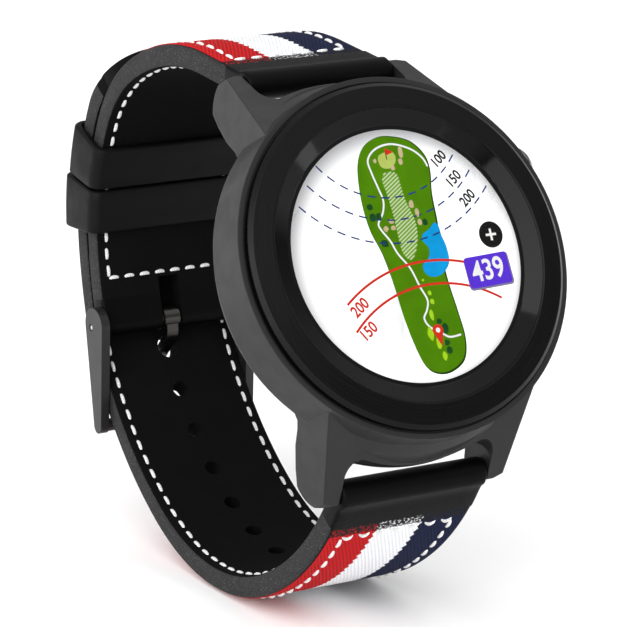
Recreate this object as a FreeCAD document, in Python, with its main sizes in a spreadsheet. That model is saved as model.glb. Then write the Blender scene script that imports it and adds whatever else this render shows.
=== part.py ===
"""Golf GPS watch: round case on a two-part leather strap, closed by a tongue buckle.

Working frame of every sub-part, in millimetres, before the watch is stood up:
X runs from 9 to 3 o'clock, Y is the depth behind the front of the bezel, Z runs towards
12 o'clock.  The finished watch leans back by "lean" about X and rests on its strap, with
its origin at the bottom centre of its bounding box.
"""
import FreeCAD, Part
import Sketcher
import math
import os

# name: (value, what it is); lengths in mm, angles in degrees
SIZES = {
    "lean": (26.05, "backward lean of the case on a table"),
    "display_radius": (15.25, "radius of the visible display"),
    "display_depth": (1.60, "depth of the display panel's front"),
    "flange_depth": (1.80, "depth of the bezel flange that carries the lens"),
    "lens_radius": (17.62, "cover lens radius"),
    "ring_front": (0.12, "depth of the front of the black chamfered ring"),
    "ring_lip": (15.80, "radius where the ring's chamfer ends"),
    "ring_low": (0.92, "depth where the ring's chamfer ends"),
    "panel_radius": (16.60, "display panel radius"),
    "panel_back": (2.90, "depth of the back of the display panel"),
    "lens_front": (1.15, "depth of the lens front"),
    "bezel_inner": (17.72, "bezel opening radius"),
    "bezel_shoulder": (20.35, "radius where the bezel front ends"),
    "bezel_radius": (20.85, "outer radius of the bezel"),
    "bezel_skirt": (20.00, "radius of the bezel part inside the case"),
    "bezel_flange": (16.75, "inner radius of the bezel flange under the lens"),
    "bezel_bottom": (2.80, "depth of the bezel underside"),
    "bezel_overhang": (1.60, "depth of the bezel's underside outside the case"),
    "groove_outer": (21.10, "outer radius of the groove round the bezel"),
    "groove_floor": (1.75, "depth of the floor of that groove"),
    "bezel_seat": (20.05, "radius of the case opening for the bezel"),
    "gasket_inner": (18.30, "inner radius of the bezel gasket"),
    "gasket_outer": (19.90, "outer radius of the bezel gasket"),
    "barrel_radius": (21.80, "case radius at 3 and 9 o'clock"),
    "barrel_front": (1.40, "depth of the case front rim"),
    "barrel_chamfer": (8.00, "depth where the rear chamfer of the case starts"),
    "barrel_back": (10.00, "depth of the case rear edge"),
    "barrel_foot": (20.80, "case radius at its rear edge"),
    "cavity_radius": (18.00, "radius of the case cavity"),
    "ledge_depth": (3.40, "depth of the ledge under the bezel"),
    "recess_radius": (20.10, "radius of the recess for the case back"),
    "recess_depth": (9.00, "depth of the floor of that recess"),
    "oring_inner": (18.10, "inner radius of the case back gasket groove"),
    "oring_outer": (18.50, "outer radius of that groove"),
    "oring_floor": (8.55, "depth of the floor of that groove"),
    "bridge_start": (4.90, "depth where the case end leaves the round case"),
    "bridge_rim": (6.40, "depth of the rim of the case end"),
    "bridge_mid": (22.60, "radius of the case end at its rim"),
    "bridge_full": (9.60, "depth where the case end is widest"),
    "bridge_deep": (10.20, "depth of the rear edge of the case end"),
    "bridge_radius": (23.40, "largest radius of the case end"),
    "bridge_corner": (1.80, "corner radius between the case end and a lug"),
    "bridge_span": (57.00, "angle of the case end between the lugs"),
    "lug_gap": (20.50, "distance between a pair of lugs"),
    "lug_tip_height": (26.60, "height of a lug tip on its inner side"),
    "lug_tip_outer": (12.44, "half width over a pair of lug tips"),
    "lug_root_outer": (14.70, "half width over a pair of lug roots"),
    "lug_root_height": (14.00, "height of the lug roots"),
    "lug_ridge_low": (14.20, "height where the lug tops meet the bezel plane"),
    "lug_tip_depth": (11.97, "depth where the lug top meets the rounded tip"),
    "lug_crown": (26.25, "height of the top of the rounded tip"),
    "lug_hook_depth": (12.40, "depth of the centre of the rounded tip"),
    "lug_hook": (3.45, "radius of the rounded tip"),
    "lug_heel_depth": (14.60, "depth of the back of a lug below its rounded tip"),
    "lug_heel_height": (20.90, "height of the back of a lug below its rounded tip"),
    "lug_shin_depth": (12.50, "depth of the back of a lug halfway down"),
    "lug_shin_height": (18.40, "height of the back of a lug halfway down"),
    "lug_foot_depth": (10.60, "depth of the back of a lug near the case"),
    "lug_foot_height": (16.80, "height of the back of a lug near the case"),
    "lug_end_height": (15.90, "height where the back of a lug meets the case"),
    "lug_inset": (0.15, "how far the lug roots stay in front of the case rear edge"),
    "lug_back": (16.20, "depth of the block that the lugs are cut from"),
    "bar_height": (25.10, "height of the spring bar axes"),
    "bar_depth": (12.70, "depth of the spring bar axes"),
    "bar_radius": (0.75, "spring bar tube radius"),
    "bar_bore": (0.48, "bore of a spring bar tube"),
    "bar_length": (18.00, "length of a spring bar tube"),
    "tip_radius": (0.40, "spring bar tip radius"),
    "tip_hole": (0.46, "radius of the holes for the tips"),
    "tip_reach": (11.35, "half distance over both tips"),
    "tip_shoulder": (9.60, "half distance between the shoulders of the tips"),
    "tip_guide": (0.45, "radius of a tip inside its tube"),
    "tip_tail": (6.90, "half distance between the inner ends of the tips"),
    "tip_hole_end": (11.60, "half distance over the tip holes in the lugs"),
    "head_radius": (1.85, "radius of a strap head"),
    "head_bore": (0.83, "bore of a strap head"),
    "strap_width": (20.00, "strap width"),
    "strap_thick": (2.90, "strap thickness"),
    "layer_gap": (0.15, "gap between the two layers at the back"),
    "fabric_thick": (0.45, "thickness of the woven inlay"),
    "fabric_start": (4.60, "distance of the inlay from a spring bar axis"),
    "fabric_width": (19.00, "width of the woven inlay"),
    "leather_thick": (1.50, "thickness of the leather"),
    "lining_start": (3.60, "distance of the lining from a spring bar axis"),
    "flex_relief": (0.32, "gap in the strap at a flex axis"),
    "short_run": (10.40, "straight part of the short strap"),
    "short_rise": (32.00, "angle of the short strap at the lugs"),
    "short_bend_a": (33.40, "first bend radius"),
    "short_end_a": (-2.50, "angle at the end of that bend"),
    "short_bend_b": (19.00, "second bend radius"),
    "short_end_b": (-36.00, "angle at the end of that bend"),
    "short_bend_c": (30.50, "third bend radius"),
    "short_end_c": (-70.00, "angle at the end of that bend"),
    "short_bend_d": (53.00, "fourth bend radius"),
    "short_end_d": (-81.20, "angle at the buckle bar"),
    "long_run": (1.00, "straight part of the long strap"),
    "long_drop": (-33.00, "angle of the long strap at the lugs"),
    "long_bend_b": (30.00, "radius of the long strap's bottom bend"),
    "long_end_b": (56.00, "angle at the end of that bend"),
    "long_end_c": (84.00, "angle at the end of the next bend"),
    "long_bend_d": (22.00, "bend radius just under the buckle bar"),
    "tail_turn": (23.00, "turn of the last bend of the tail"),
    "tail_margin": (5.00, "bare leather at the tail tip"),
    "hole_radius": (1.10, "adjustment hole radius"),
    "tongue_hole": (1.55, "radius of the hole that the tongue stretches"),
    "tongue_hole_below": (4.10, "distance of that hole from the buckle bar along the strap"),
    "hole_pitch": (6.40, "distance between adjustment holes"),
    "flex_hole": (4.50, "place of the long strap's flex axis, in hole pitches"),
    "slot_width": (2.90, "width of the tongue slot in the short strap"),
    "slot_run": (5.60, "length of that slot along the strap"),
    "buckle_head": (1.45, "radius of the short strap's fold at the buckle bar"),
    "keeper_angle": (11.60, "length of a keeper as an angle of the bend"),
    "keeper_wall": (0.90, "wall of a keeper"),
    "keeper_inside": (20.60, "inner width of a keeper"),
    "fixed_play": (0.02, "gap inside the fixed keeper"),
    "keeper_swell": (0.70, "how much higher the fixed keeper is"),
    "keeper_play": (0.12, "clearance of a keeper round the strap"),
    "free_keeper_at": (-47.90, "strap angle at the free keeper"),
    "fixed_keeper_at": (-60.00, "strap angle at the fixed keeper"),
    "ear_inner": (10.25, "half width inside the buckle ears"),
    "ear_thick": (1.20, "thickness of a buckle ear"),
    "ear_radius": (2.40, "radius of a buckle ear at the bar"),
    "cross_radius": (0.85, "radius of the buckle's cross bar"),
    "cross_below": (12.40, "distance of the cross bar from the buckle bar along the strap"),
    "ear_back": (0.90, "how far a buckle ear's boss sits towards the wrist"),
    "ear_hole": (0.46, "radius of the holes in the buckle ears"),
    "tongue_width": (2.20, "width of the tongue's loop"),
    "tongue_arm": (1.60, "width of the tongue's arm"),
    "tongue_thick": (0.90, "thickness of the tongue"),
    "tongue_drop": (-20.00, "angle of the tongue through the strap"),
    "tongue_cross": (4.60, "length of the tongue through the strap"),
    "tongue_bend": (1.50, "bend radius of the tongue"),
    "tongue_rest": (-92.00, "angle of the tongue along the strap"),
    "tongue_ring": (1.45, "outer radius of the tongue's loop"),
    "tongue_bore": (0.80, "inner radius of the tongue's loop"),
    "tongue_start": (-70.00, "angle of the tongue where it leaves the loop"),
    "tongue_reach": (7.80, "length of the tongue along the strap"),
    "button_angle": (26.00, "angle of the button above 3 o'clock"),
    "button_depth": (5.90, "depth of the button axis"),
    "button_radius": (2.40, "button cap radius"),
    "button_face": (24.20, "radius of the watch over the button"),
    "button_seat": (21.20, "radius where the cap starts"),
    "button_well": (20.50, "radius of the floor of the button well"),
    "button_hollow": (22.50, "radius of the hollow's ceiling inside the cap"),
    "button_play": (0.10, "clearance round the cap"),
    "stem_radius": (0.90, "button stem radius"),
    "stem_hole": (0.95, "button stem hole radius"),
    "stem_end": (16.90, "radius of the stem's inner end"),
    "holder_radius": (17.80, "display holder radius"),
    "holder_wall": (0.80, "wall of the display holder"),
    "holder_floor": (3.50, "depth of the back of the holder's plate"),
    "board_front": (3.90, "depth of the circuit board's front"),
    "board_back": (4.60, "depth of the circuit board's back"),
    "board_radius": (16.60, "circuit board radius"),
    "board_screw": (0.40, "board screw shank radius"),
    "board_circle": (15.00, "radius of the board screw circle"),
    "screw_circle": (19.25, "radius of the case back screw circle"),
    "screw_head": (0.62, "case back screw head radius"),
    "screw_shank": (0.38, "case back screw shank radius"),
    "screw_seat": (9.70, "depth of the case back screw seats"),
    "screw_end": (6.50, "depth of the screw ends"),
    "back_flange": (20.00, "case back flange radius"),
    "back_front": (9.06, "depth of the case back flange's front"),
    "back_rim": (10.10, "depth of the case back flange's rear"),
    "back_dome": (15.00, "radius of the case back's flat"),
    "back_face": (13.00, "depth of the case back's flat"),
    "contact_pitch": (2.50, "charging contact pitch"),
    "contact_radius": (0.80, "charging contact radius"),
    "contact_height": (-8.00, "height of the row of charging contacts"),
}

DOC = FreeCAD.newDocument("GolfGpsWatch")
SHEET = DOC.addObject("Spreadsheet::Sheet", "Sizes")
for row, (alias, (value, note)) in enumerate(SIZES.items(), start=1):
    SHEET.set(f"A{row}", note)
    SHEET.set(f"B{row}", str(value))
    SHEET.setAlias(f"B{row}", alias)
DOC.recompute()


class Size:
    """A number together with the spreadsheet expression that it comes from."""

    def __init__(self, value, text):
        self.value = value
        self.text = text

    def _with(self, other, sign, value):
        other = size_of(other)
        return Size(value(self.value, other.value), f"({self.text} {sign} {other.text})")

    def __add__(self, other):
        return self._with(other, "+", lambda a, b: a + b)

    def __sub__(self, other):
        return self._with(other, "-", lambda a, b: a - b)

    def __mul__(self, other):
        return self._with(other, "*", lambda a, b: a * b)

    def __truediv__(self, other):
        return self._with(other, "/", lambda a, b: a / b)

    def __neg__(self):
        return Size(-self.value, f"(0 - {self.text})")


def size_of(number):
    """The number itself as a Size, so that plain and named sizes mix."""
    if isinstance(number, Size):
        return number
    return Size(float(number), repr(float(number)))


def named(alias):
    """The named cell of the spreadsheet as a Size."""
    return Size(float(SHEET.get(alias)), f"Sizes.{alias}")


def mm(alias):
    """The value of a named cell."""
    return named(alias).value


def bind(target, prop, number):
    """Ties a property to an expression of the spreadsheet."""
    target.setExpression(prop, size_of(number).text)


# ---------------------------------------------------------------- sketches and features
PARTS = []


def vector(x, y, z):
    return FreeCAD.Vector(x, y, z)


def finish(piece, label, local=None):
    """Names a finished sub-part and remembers where it sits in the working frame."""
    piece.Label = label
    PARTS.append((piece, local or FreeCAD.Placement(piece.Placement)))
    return piece


def new_body(name):
    return DOC.addObject("PartDesign::Body", name)


def new_sketch(body, role, lift=0.0, spin=0.0):
    """A sketch on an origin plane of the body, lifted along its normal and turned in it."""
    sketch = body.newObject("Sketcher::SketchObject", "Sketch")
    plane = next(f for f in body.Origin.OriginFeatures if f.Role == role)
    sketch.AttachmentSupport = [(plane, "")]
    sketch.MapMode = "FlatFace"
    turn = FreeCAD.Rotation(vector(0, 0, 1), size_of(spin).value)
    sketch.AttachmentOffset = FreeCAD.Placement(vector(0, 0, size_of(lift).value), turn)
    bind(sketch, "AttachmentOffset.Base.z", lift)
    return sketch


def route_sketch(body, track, station):
    """A sketch tangent to a route: x runs across the strap and y along the route."""
    (y, z), angle = track.at(station)
    sketch = new_sketch(body, "XZ_Plane")
    sketch.setExpression("AttachmentOffset.Base.z", None)
    tilt = math.degrees(math.atan2(-math.cos(angle), math.sin(angle)))
    sketch.AttachmentOffset = FreeCAD.Placement(
        vector(0, z, -y), FreeCAD.Rotation(vector(1, 0, 0), tilt))
    return sketch


def fix_point(sketch, geometry, end, point):
    """Ties one end of a line to its two coordinates."""
    for kind, number in zip(("DistanceX", "DistanceY"), point):
        number = size_of(number)
        index = sketch.addConstraint(
            Sketcher.Constraint(kind, -1, 1, geometry, end, number.value))
        bind(sketch, f"Constraints[{index}]", number)


def draw_polygon(sketch, points):
    """A closed polygon whose corners are tied to the spreadsheet."""
    corners = [vector(size_of(a).value, size_of(b).value, 0) for a, b in points]
    first = sketch.GeometryCount
    count = len(corners)
    for i, corner in enumerate(corners):
        sketch.addGeometry(Part.LineSegment(corner, corners[(i + 1) % count]))
    for i in range(count):
        sketch.addConstraint(
            Sketcher.Constraint("Coincident", first + i, 2, first + (i + 1) % count, 1))
    for i, point in enumerate(points):
        fix_point(sketch, first + i, 1, point)


def draw_circle(sketch, centre, radius):
    """A circle with its radius tied to the spreadsheet."""
    radius = size_of(radius)
    circle = Part.Circle(vector(centre[0], centre[1], 0), vector(0, 0, 1), radius.value)
    geometry = sketch.addGeometry(circle)
    index = sketch.addConstraint(Sketcher.Constraint("Radius", geometry, radius.value))
    bind(sketch, f"Constraints[{index}]", radius)
    for kind, number in zip(("DistanceX", "DistanceY"), centre):
        sketch.addConstraint(Sketcher.Constraint(kind, -1, 1, geometry, 3, float(number)))


def draw_curves(sketch, curves):
    for curve in curves:
        sketch.addGeometry(curve)


def pad(body, sketch, length, midplane=False, back=False):
    """Material along the sketch's normal, against it, or to both sides."""
    feature = body.newObject("PartDesign::Pad", "Pad")
    feature.Profile = sketch
    feature.Midplane = midplane
    feature.Reversed = back
    bind(feature, "Length", length)
    return feature


def pocket(body, sketch, length, midplane=False, along=False):
    """A cut against the sketch's normal, along it, or to both sides, tested to cut."""
    DOC.recompute()
    before = body.Shape.Volume
    feature = body.newObject("PartDesign::Pocket", "Pocket")
    feature.Profile = sketch
    feature.Midplane = midplane
    feature.Reversed = along
    bind(feature, "Length", length)
    DOC.recompute()
    if body.Shape.Volume >= before:
        raise RuntimeError(f"{body.Name}: the pocket removes nothing")
    return feature


def groove(body, sketch, axis):
    """A turned cut about an axis of the sketch, tested to cut."""
    DOC.recompute()
    before = body.Shape.Volume
    feature = body.newObject("PartDesign::Groove", "Groove")
    feature.Profile = sketch
    feature.ReferenceAxis = (sketch, [axis])
    DOC.recompute()
    if body.Shape.Volume >= before:
        raise RuntimeError(f"{body.Name}: the groove removes nothing")
    return feature


def revolve(body, sketch, axis, angle=360.0):
    """A turned addition about an axis of the sketch, centred on the sketch."""
    feature = body.newObject("PartDesign::Revolution", "Revolution")
    feature.Profile = sketch
    feature.ReferenceAxis = (sketch, [axis])
    feature.Midplane = size_of(angle).value < 360.0
    bind(feature, "Angle", angle)
    return feature


def turned(name, outline, local=None):
    """A body turned about the depth axis from a polygon of (radius, depth)."""
    body = new_body(name)
    sketch = new_sketch(body, "XY_Plane")
    draw_polygon(sketch, outline)
    revolve(body, sketch, "V_Axis")
    return finish(body, name, local)


def spindle(name, outline, local):
    """A body turned about its own X axis from a polygon of (distance, radius)."""
    body = new_body(name)
    sketch = new_sketch(body, "XY_Plane")
    draw_polygon(sketch, outline)
    revolve(body, sketch, "H_Axis")
    return finish(body, name, local)


def cylinder(name, radius, length, local):
    """A Part cylinder along its local Z axis."""
    piece = DOC.addObject("Part::Cylinder", name)
    bind(piece, "Radius", radius)
    bind(piece, "Height", length)
    piece.Placement = local
    return piece


def block(name, sides, centre):
    """A Part box of the three sides about a centre, as a tool or a plain piece."""
    piece = DOC.addObject("Part::Box", name)
    for prop, side in zip(("Length", "Width", "Height"), sides):
        bind(piece, prop, side)
    corner = [c - size_of(s).value / 2 for c, s in zip(centre, sides)]
    piece.Placement = FreeCAD.Placement(vector(*corner), FreeCAD.Rotation())
    return piece


def fuse(name, pieces):
    piece = DOC.addObject("Part::MultiFuse", name)
    piece.Shapes = pieces
    piece.Refine = True
    return piece


ALONG_Y = FreeCAD.Rotation(vector(1, 0, 0), -90)


def along_y(x, y, z):
    """A place whose local Z axis points along +Y."""
    return FreeCAD.Placement(vector(x, y, z), ALONG_Y)


# ---------------------------------------------------------------- the strap's route
class Track:
    """A route in the YZ plane of straight runs and arcs, each tangent to the last."""

    def __init__(self, start, heading, runs):
        """runs holds (length, None) for a straight and (radius, turn in degrees) for an arc."""
        self.pieces = []
        point, angle, station = start, math.radians(heading), 0.0
        for reach, turn in runs:
            swing = math.radians(turn) if turn is not None else 0.0
            length = abs(reach * swing) if turn is not None else reach
            self.pieces.append((station, length, point, angle, reach, swing))
            point, angle = self._walk(point, angle, reach, swing, length)
            station += length
        self.length = station
        self.end = point
        self.end_heading = angle

    @staticmethod
    def _walk(point, angle, reach, swing, distance):
        """Point and heading after a distance along one piece."""
        if swing == 0.0:
            step = (distance * math.cos(angle), distance * math.sin(angle))
            return (point[0] + step[0], point[1] + step[1]), angle
        side = math.copysign(1.0, swing)
        turned_by = side * distance / reach
        centre = (point[0] - side * reach * math.sin(angle), point[1] + side * reach * math.cos(angle))
        angle += turned_by
        return (centre[0] + side * reach * math.sin(angle), centre[1] - side * reach * math.cos(angle)), angle

    def at(self, station, offset=0.0):
        """Point to the left of the route by the offset, and the heading there."""
        piece = max((p for p in self.pieces if p[0] <= station + 1e-9), key=lambda p: p[0])
        start, _, point, angle, reach, swing = piece
        point, angle = self._walk(point, angle, reach, swing, station - start)
        return (point[0] - offset * math.sin(angle), point[1] + offset * math.cos(angle)), angle

    def station_at(self, heading):
        """The station where the route has this heading, in degrees."""
        wanted = math.radians(heading)
        for start, length, _, angle, reach, swing in self.pieces:
            if swing and min(angle, angle + swing) - 1e-9 <= wanted <= max(angle, angle + swing) + 1e-9:
                return start + abs(wanted - angle) * reach
        raise ValueError(f"no station has the heading {heading}")

    def centre_at(self, station):
        """Centre and radius of the arc at a station."""
        piece = max((p for p in self.pieces if p[0] <= station + 1e-9), key=lambda p: p[0])
        _, _, point, angle, reach, swing = piece
        side = math.copysign(1.0, swing)
        return (point[0] - side * reach * math.sin(angle), point[1] + side * reach * math.cos(angle)), reach

    def curves(self, low, high, offset):
        """Sketch curves of the route moved left by the offset, between two stations."""
        found = []
        for start, length, _, _, reach, swing in self.pieces:
            first, last = max(low, start), min(high, start + length)
            if last - first < 1e-6:
                continue
            a, b = self.at(first, offset)[0], self.at(last, offset)[0]
            if swing == 0.0:
                found.append(Part.LineSegment(vector(*a, 0), vector(*b, 0)))
            else:
                middle = self.at((first + last) / 2, offset)[0]
                found.append(Part.Arc(vector(*a, 0), vector(*middle, 0), vector(*b, 0)))
        return found

    def strip(self, low, high, right, left):
        """Closed outline between two stations and two offsets."""
        ends = [Part.LineSegment(vector(*self.at(s, right)[0], 0), vector(*self.at(s, left)[0], 0))
                for s in (low, high)]
        return self.curves(low, high, right) + self.curves(low, high, left) + ends


def short_route():
    """Middle of the short strap, from its spring bar to the buckle bar."""
    bends = []
    heading = mm("short_rise")
    for letter in "abcd":
        end = mm(f"short_end_{letter}")
        bends.append((mm(f"short_bend_{letter}"), end - heading))
        heading = end
    start = (mm("bar_depth"), mm("bar_height"))
    return Track(start, mm("short_rise"), [(mm("short_run"), None)] + bends)


def long_route(short):
    """Middle of the long strap, from its spring bar round the wrist to the tail tip.

    Past the buckle it lies on the short strap, so its bends there share their centres.
    The radii of two bends before the buckle follow from closing the loop.
    """
    offset = mm("strap_thick") + mm("layer_gap")
    (end_y, end_z), end_angle = short.at(short.length, offset)
    joined = math.degrees(end_angle) + 180.0
    start = (mm("bar_depth"), -mm("bar_height"))
    drop, turn_b, turn_c = mm("long_drop"), mm("long_end_b"), mm("long_end_c")

    def end_of(bend_a, bend_c):
        runs = [(mm("long_run"), None), (bend_a, -drop), (mm("long_bend_b"), turn_b),
                (bend_c, turn_c - turn_b), (mm("long_bend_d"), joined - turn_c)]
        return runs, Track(start, drop, runs).end

    origin = end_of(1.0, 1.0)[1]
    by_a = end_of(2.0, 1.0)[1]
    by_c = end_of(1.0, 2.0)[1]
    a_y, a_z = by_a[0] - origin[0], by_a[1] - origin[1]
    c_y, c_z = by_c[0] - origin[0], by_c[1] - origin[1]
    rest_y, rest_z = end_y - origin[0], end_z - origin[1]
    scale = a_y * c_z - a_z * c_y
    bend_a = 1.0 + (rest_y * c_z - rest_z * c_y) / scale
    bend_c = 1.0 + (a_y * rest_z - a_z * rest_y) / scale
    runs = end_of(bend_a, bend_c)[0]
    back = [(mm("short_bend_d") + offset, mm("short_end_c") - mm("short_end_d")),
            (mm("short_bend_c") + offset, mm("short_end_b") - mm("short_end_c")),
            (mm("short_bend_b") + offset, mm("tail_turn"))]
    print("closing bends of the long strap:", round(bend_a, 2), round(bend_c, 2))
    return Track(start, drop, runs + back)


SHORT = short_route()
LONG = long_route(SHORT)
BUCKLE_BAR = SHORT.end
SHORT_FLEX = SHORT.station_at(mm("short_end_a"))
JOINED = math.degrees(SHORT.end_heading) + 180.0
TONGUE_HOLE_AT = LONG.station_at(JOINED) - mm("tongue_hole_below")
LONG_FLEX = TONGUE_HOLE_AT - mm("flex_hole") * mm("hole_pitch")
HOLES = [TONGUE_HOLE_AT - mm("hole_pitch") * number for number in range(1, 7)]


# ---------------------------------------------------------------- case
def ring(inner, outer, front, back):
    """Outline of a plain ring between two radii and two depths."""
    return [(inner, front), (outer, front), (outer, back), (inner, back)]


def lug_blank(body):
    """A block with the four lugs' plan outline and side outline."""
    tip, root = named("lug_tip_outer"), named("lug_root_outer")
    high, low = named("lug_tip_height"), named("lug_root_height")
    side = high - (tip - named("lug_gap") / 2) * 0.32
    plan = [(named("lug_gap") / 2, high), (tip, side), (root, low)]
    corners = plan + [(x, -z) for x, z in reversed(plan)]
    corners += [(-x, -z) for x, z in corners]
    sketch = new_sketch(body, "XZ_Plane", -named("barrel_front"))
    draw_polygon(sketch, corners)
    pad(body, sketch, named("lug_back") - named("barrel_front"), back=True)
    sketch = new_sketch(body, "YZ_Plane")
    for way in (1.0, -1.0):
        cut_lug_side(sketch, way)
    pocket(body, sketch, named("lug_root_outer") * 2.2, midplane=True)


def cut_lug_side(sketch, way):
    """Side view of what is cut away before and behind a pair of lugs."""
    far, crown, hook = mm("lug_tip_height") + 4.0, mm("lug_crown"), mm("lug_hook")
    middle, level = mm("lug_hook_depth"), crown - hook
    slant = hook * math.sqrt(0.5)
    back = middle + hook
    foot = (back, level * way)
    rear = [(mm(f"lug_{place}_depth"), mm(f"lug_{place}_height") * way) for place in ("heel", "shin", "foot")]
    inner = mm("barrel_back") - mm("lug_inset")
    corners = [foot, *rear, (inner, mm("lug_end_height") * way), (inner, way),
               (back + 3.0, way), (back + 3.0, far * way),
               (0.0, far * way), (0.0, mm("lug_ridge_low") * way),
               (mm("lug_tip_depth"), crown * way), (middle, crown * way)]
    edges = [Part.LineSegment(vector(*p, 0), vector(*q, 0)) for p, q in zip(corners, corners[1:])]
    bend = (middle + slant, (level + slant) * way)
    edges.append(Part.Arc(vector(*corners[-1], 0), vector(*bend, 0), vector(*foot, 0)))
    draw_curves(sketch, edges)


def gap_edges(way, reach):
    """The outline of the gap between two lugs, with rounded corners on the case."""
    half, far, corner = mm("lug_gap") / 2, mm("lug_tip_height") + 3.0, mm("bridge_corner")
    across = half - corner
    height = math.sqrt((reach + corner) ** 2 - across ** 2)
    share = reach / (reach + corner)
    edges = [Part.LineSegment(vector(-half, way * far, 0), vector(half, way * far, 0)),
             Part.Arc(vector(-across * share, way * height * share, 0), vector(0, way * reach, 0),
                      vector(across * share, way * height * share, 0))]
    for side in (-1, 1):
        centre = vector(side * across, way * height, 0)
        foot = vector(side * half, way * height, 0)
        bend = vector(side, 0, 0) - centre * (1 / (reach + corner))
        bend.normalize()
        edges.append(Part.LineSegment(vector(side * half, way * far, 0), foot))
        edges.append(Part.Arc(foot, centre + bend * corner, centre * share))
    return edges


def clear_lug_gaps(body):
    """Opens the gap between the lugs of each pair, outside the round case."""
    for reach, start in (("bridge_radius", size_of(0.0)), ("barrel_foot", named("bridge_deep"))):
        sketch = new_sketch(body, "XZ_Plane", -start)
        for way in (1, -1):
            draw_curves(sketch, gap_edges(way, mm(reach)))
        pocket(body, sketch, named("lug_back") + 2.0 - start)


def add_case_ends(body):
    """The two curved walls between the lugs."""
    outline = [
        (named("bridge_start"), named("barrel_foot") - 0.2),
        (named("bridge_start"), named("barrel_radius") - 0.1),
        (named("bridge_rim"), named("bridge_mid")),
        (named("bridge_full"), named("bridge_radius") - 0.02),
        (named("bridge_deep"), named("bridge_radius") - 0.4),
        (named("bridge_deep"), named("barrel_foot") - 0.2)]
    for way in (1.0, -1.0):
        sketch = new_sketch(body, "YZ_Plane")
        draw_polygon(sketch, [(depth, radius * way) for depth, radius in outline])
        revolve(body, sketch, "H_Axis", named("bridge_span"))


def hollow_case(body):
    """The stepped opening for bezel, works and case back, and the gasket groove."""
    front, back = size_of(-1.0), named("lug_back") + 1.0
    steps = [
        (0.0, front), (named("groove_outer"), front),
        (named("groove_outer"), named("groove_floor")), (named("bezel_seat"), named("groove_floor")),
        (named("bezel_seat"), named("ledge_depth")), (named("cavity_radius"), named("ledge_depth")),
        (named("cavity_radius"), named("recess_depth")), (named("recess_radius"), named("recess_depth")),
        (named("recess_radius"), back), (0.0, back)]
    sketch = new_sketch(body, "XY_Plane")
    draw_polygon(sketch, steps)
    groove(body, sketch, "V_Axis")
    sketch = new_sketch(body, "XY_Plane")
    draw_polygon(sketch, ring(named("oring_inner"), named("oring_outer"),
                              named("oring_floor"), named("recess_depth") + 0.1))
    groove(body, sketch, "V_Axis")


def bore_case(body):
    """The button well with its seal groove, the spring bar holes and the screw holes."""
    hole, well = named("stem_hole"), named("button_radius") + named("button_play")
    sketch = new_sketch(body, "XZ_Plane", -named("button_depth"), named("button_angle"))
    draw_polygon(sketch, [
        (17.0, 0.0), (17.0, hole), (19.2, hole), (19.2, hole + 0.4), (19.8, hole + 0.4),
        (19.8, hole), (named("button_well"), hole), (named("button_well"), well),
        (25.0, well), (25.0, 0.0)])
    groove(body, sketch, "H_Axis")
    sketch = new_sketch(body, "YZ_Plane")
    for way in (1, -1):
        draw_circle(sketch, (mm("bar_depth"), way * mm("bar_height")), named("tip_hole"))
    pocket(body, sketch, named("tip_hole_end") * 2, midplane=True)
    sketch = new_sketch(body, "XZ_Plane", -named("recess_depth") - 0.1)
    for place in circle_places(mm("screw_circle"), SCREW_ANGLES):
        draw_circle(sketch, place, named("screw_shank") + 0.02)
    pocket(body, sketch, named("recess_depth") + 0.2 - named("screw_end"), along=True)


def circle_places(radius, angles):
    return [(radius * math.cos(math.radians(a)), radius * math.sin(math.radians(a))) for a in angles]


SCREW_ANGLES = (45.0, 135.0, 225.0, 315.0)
BOARD_SCREW_ANGLES = (50.0, 180.0, 270.0)


def mid_case():
    """The case middle: barrel, four lugs, the walls between them and every bore."""
    body = new_body("mid_case")
    lug_blank(body)
    clear_lug_gaps(body)
    sketch = new_sketch(body, "XY_Plane")
    deep, far = named("barrel_back") - 0.1, named("lug_back") + 1.0
    draw_polygon(sketch, [(0.0, deep), (named("barrel_foot") + 0.1, deep),
                          (named("barrel_foot") + 0.1, far), (0.0, far)])
    groove(body, sketch, "V_Axis")
    sketch = new_sketch(body, "XY_Plane")
    draw_polygon(sketch, [
        (0.0, named("barrel_front")), (named("barrel_radius"), named("barrel_front")),
        (named("barrel_radius"), named("barrel_chamfer")), (named("barrel_foot"), named("barrel_back")),
        (0.0, named("barrel_back"))])
    revolve(body, sketch, "V_Axis")
    add_case_ends(body)
    hollow_case(body)
    bore_case(body)
    finish(body, "mid_case")


def bezel_and_glass():
    """The bezel with everything that it carries."""
    inner, rim = named("bezel_inner"), named("bezel_radius")
    turned("bezel_ring", [
        (inner, 0.08), (inner + 0.22, 0.0), (named("bezel_shoulder"), 0.36), (rim, 0.80),
        (rim, named("bezel_overhang")), (named("bezel_skirt"), named("bezel_overhang")),
        (named("bezel_skirt"), named("bezel_bottom")), (named("bezel_flange"), named("bezel_bottom")),
        (named("bezel_flange"), named("flange_depth")), (inner, named("flange_depth"))])
    glass, front = named("lens_radius"), named("lens_front")
    turned("cover_lens", [(0.0, front), (glass, front), (glass, named("display_depth")),
                          (0.0, named("display_depth"))])
    turned("lens_gasket", ring(named("bezel_flange"), glass - 0.1,
                               named("display_depth"), named("flange_depth")))
    lip, low, opening = named("ring_lip"), named("ring_low"), named("display_radius")
    turned("inner_ring", [
        (glass + 0.06, named("ring_front")), (glass + 0.06, front), (opening, front),
        (opening, low + 0.08), (lip - 0.1, low + 0.08), (lip, low)])
    turned("display_panel", ring(0.0, named("panel_radius"), named("display_depth"), named("panel_back")))
    turned("bezel_gasket", ring(named("gasket_inner"), named("gasket_outer"),
                                named("bezel_bottom"), named("ledge_depth")))


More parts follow.
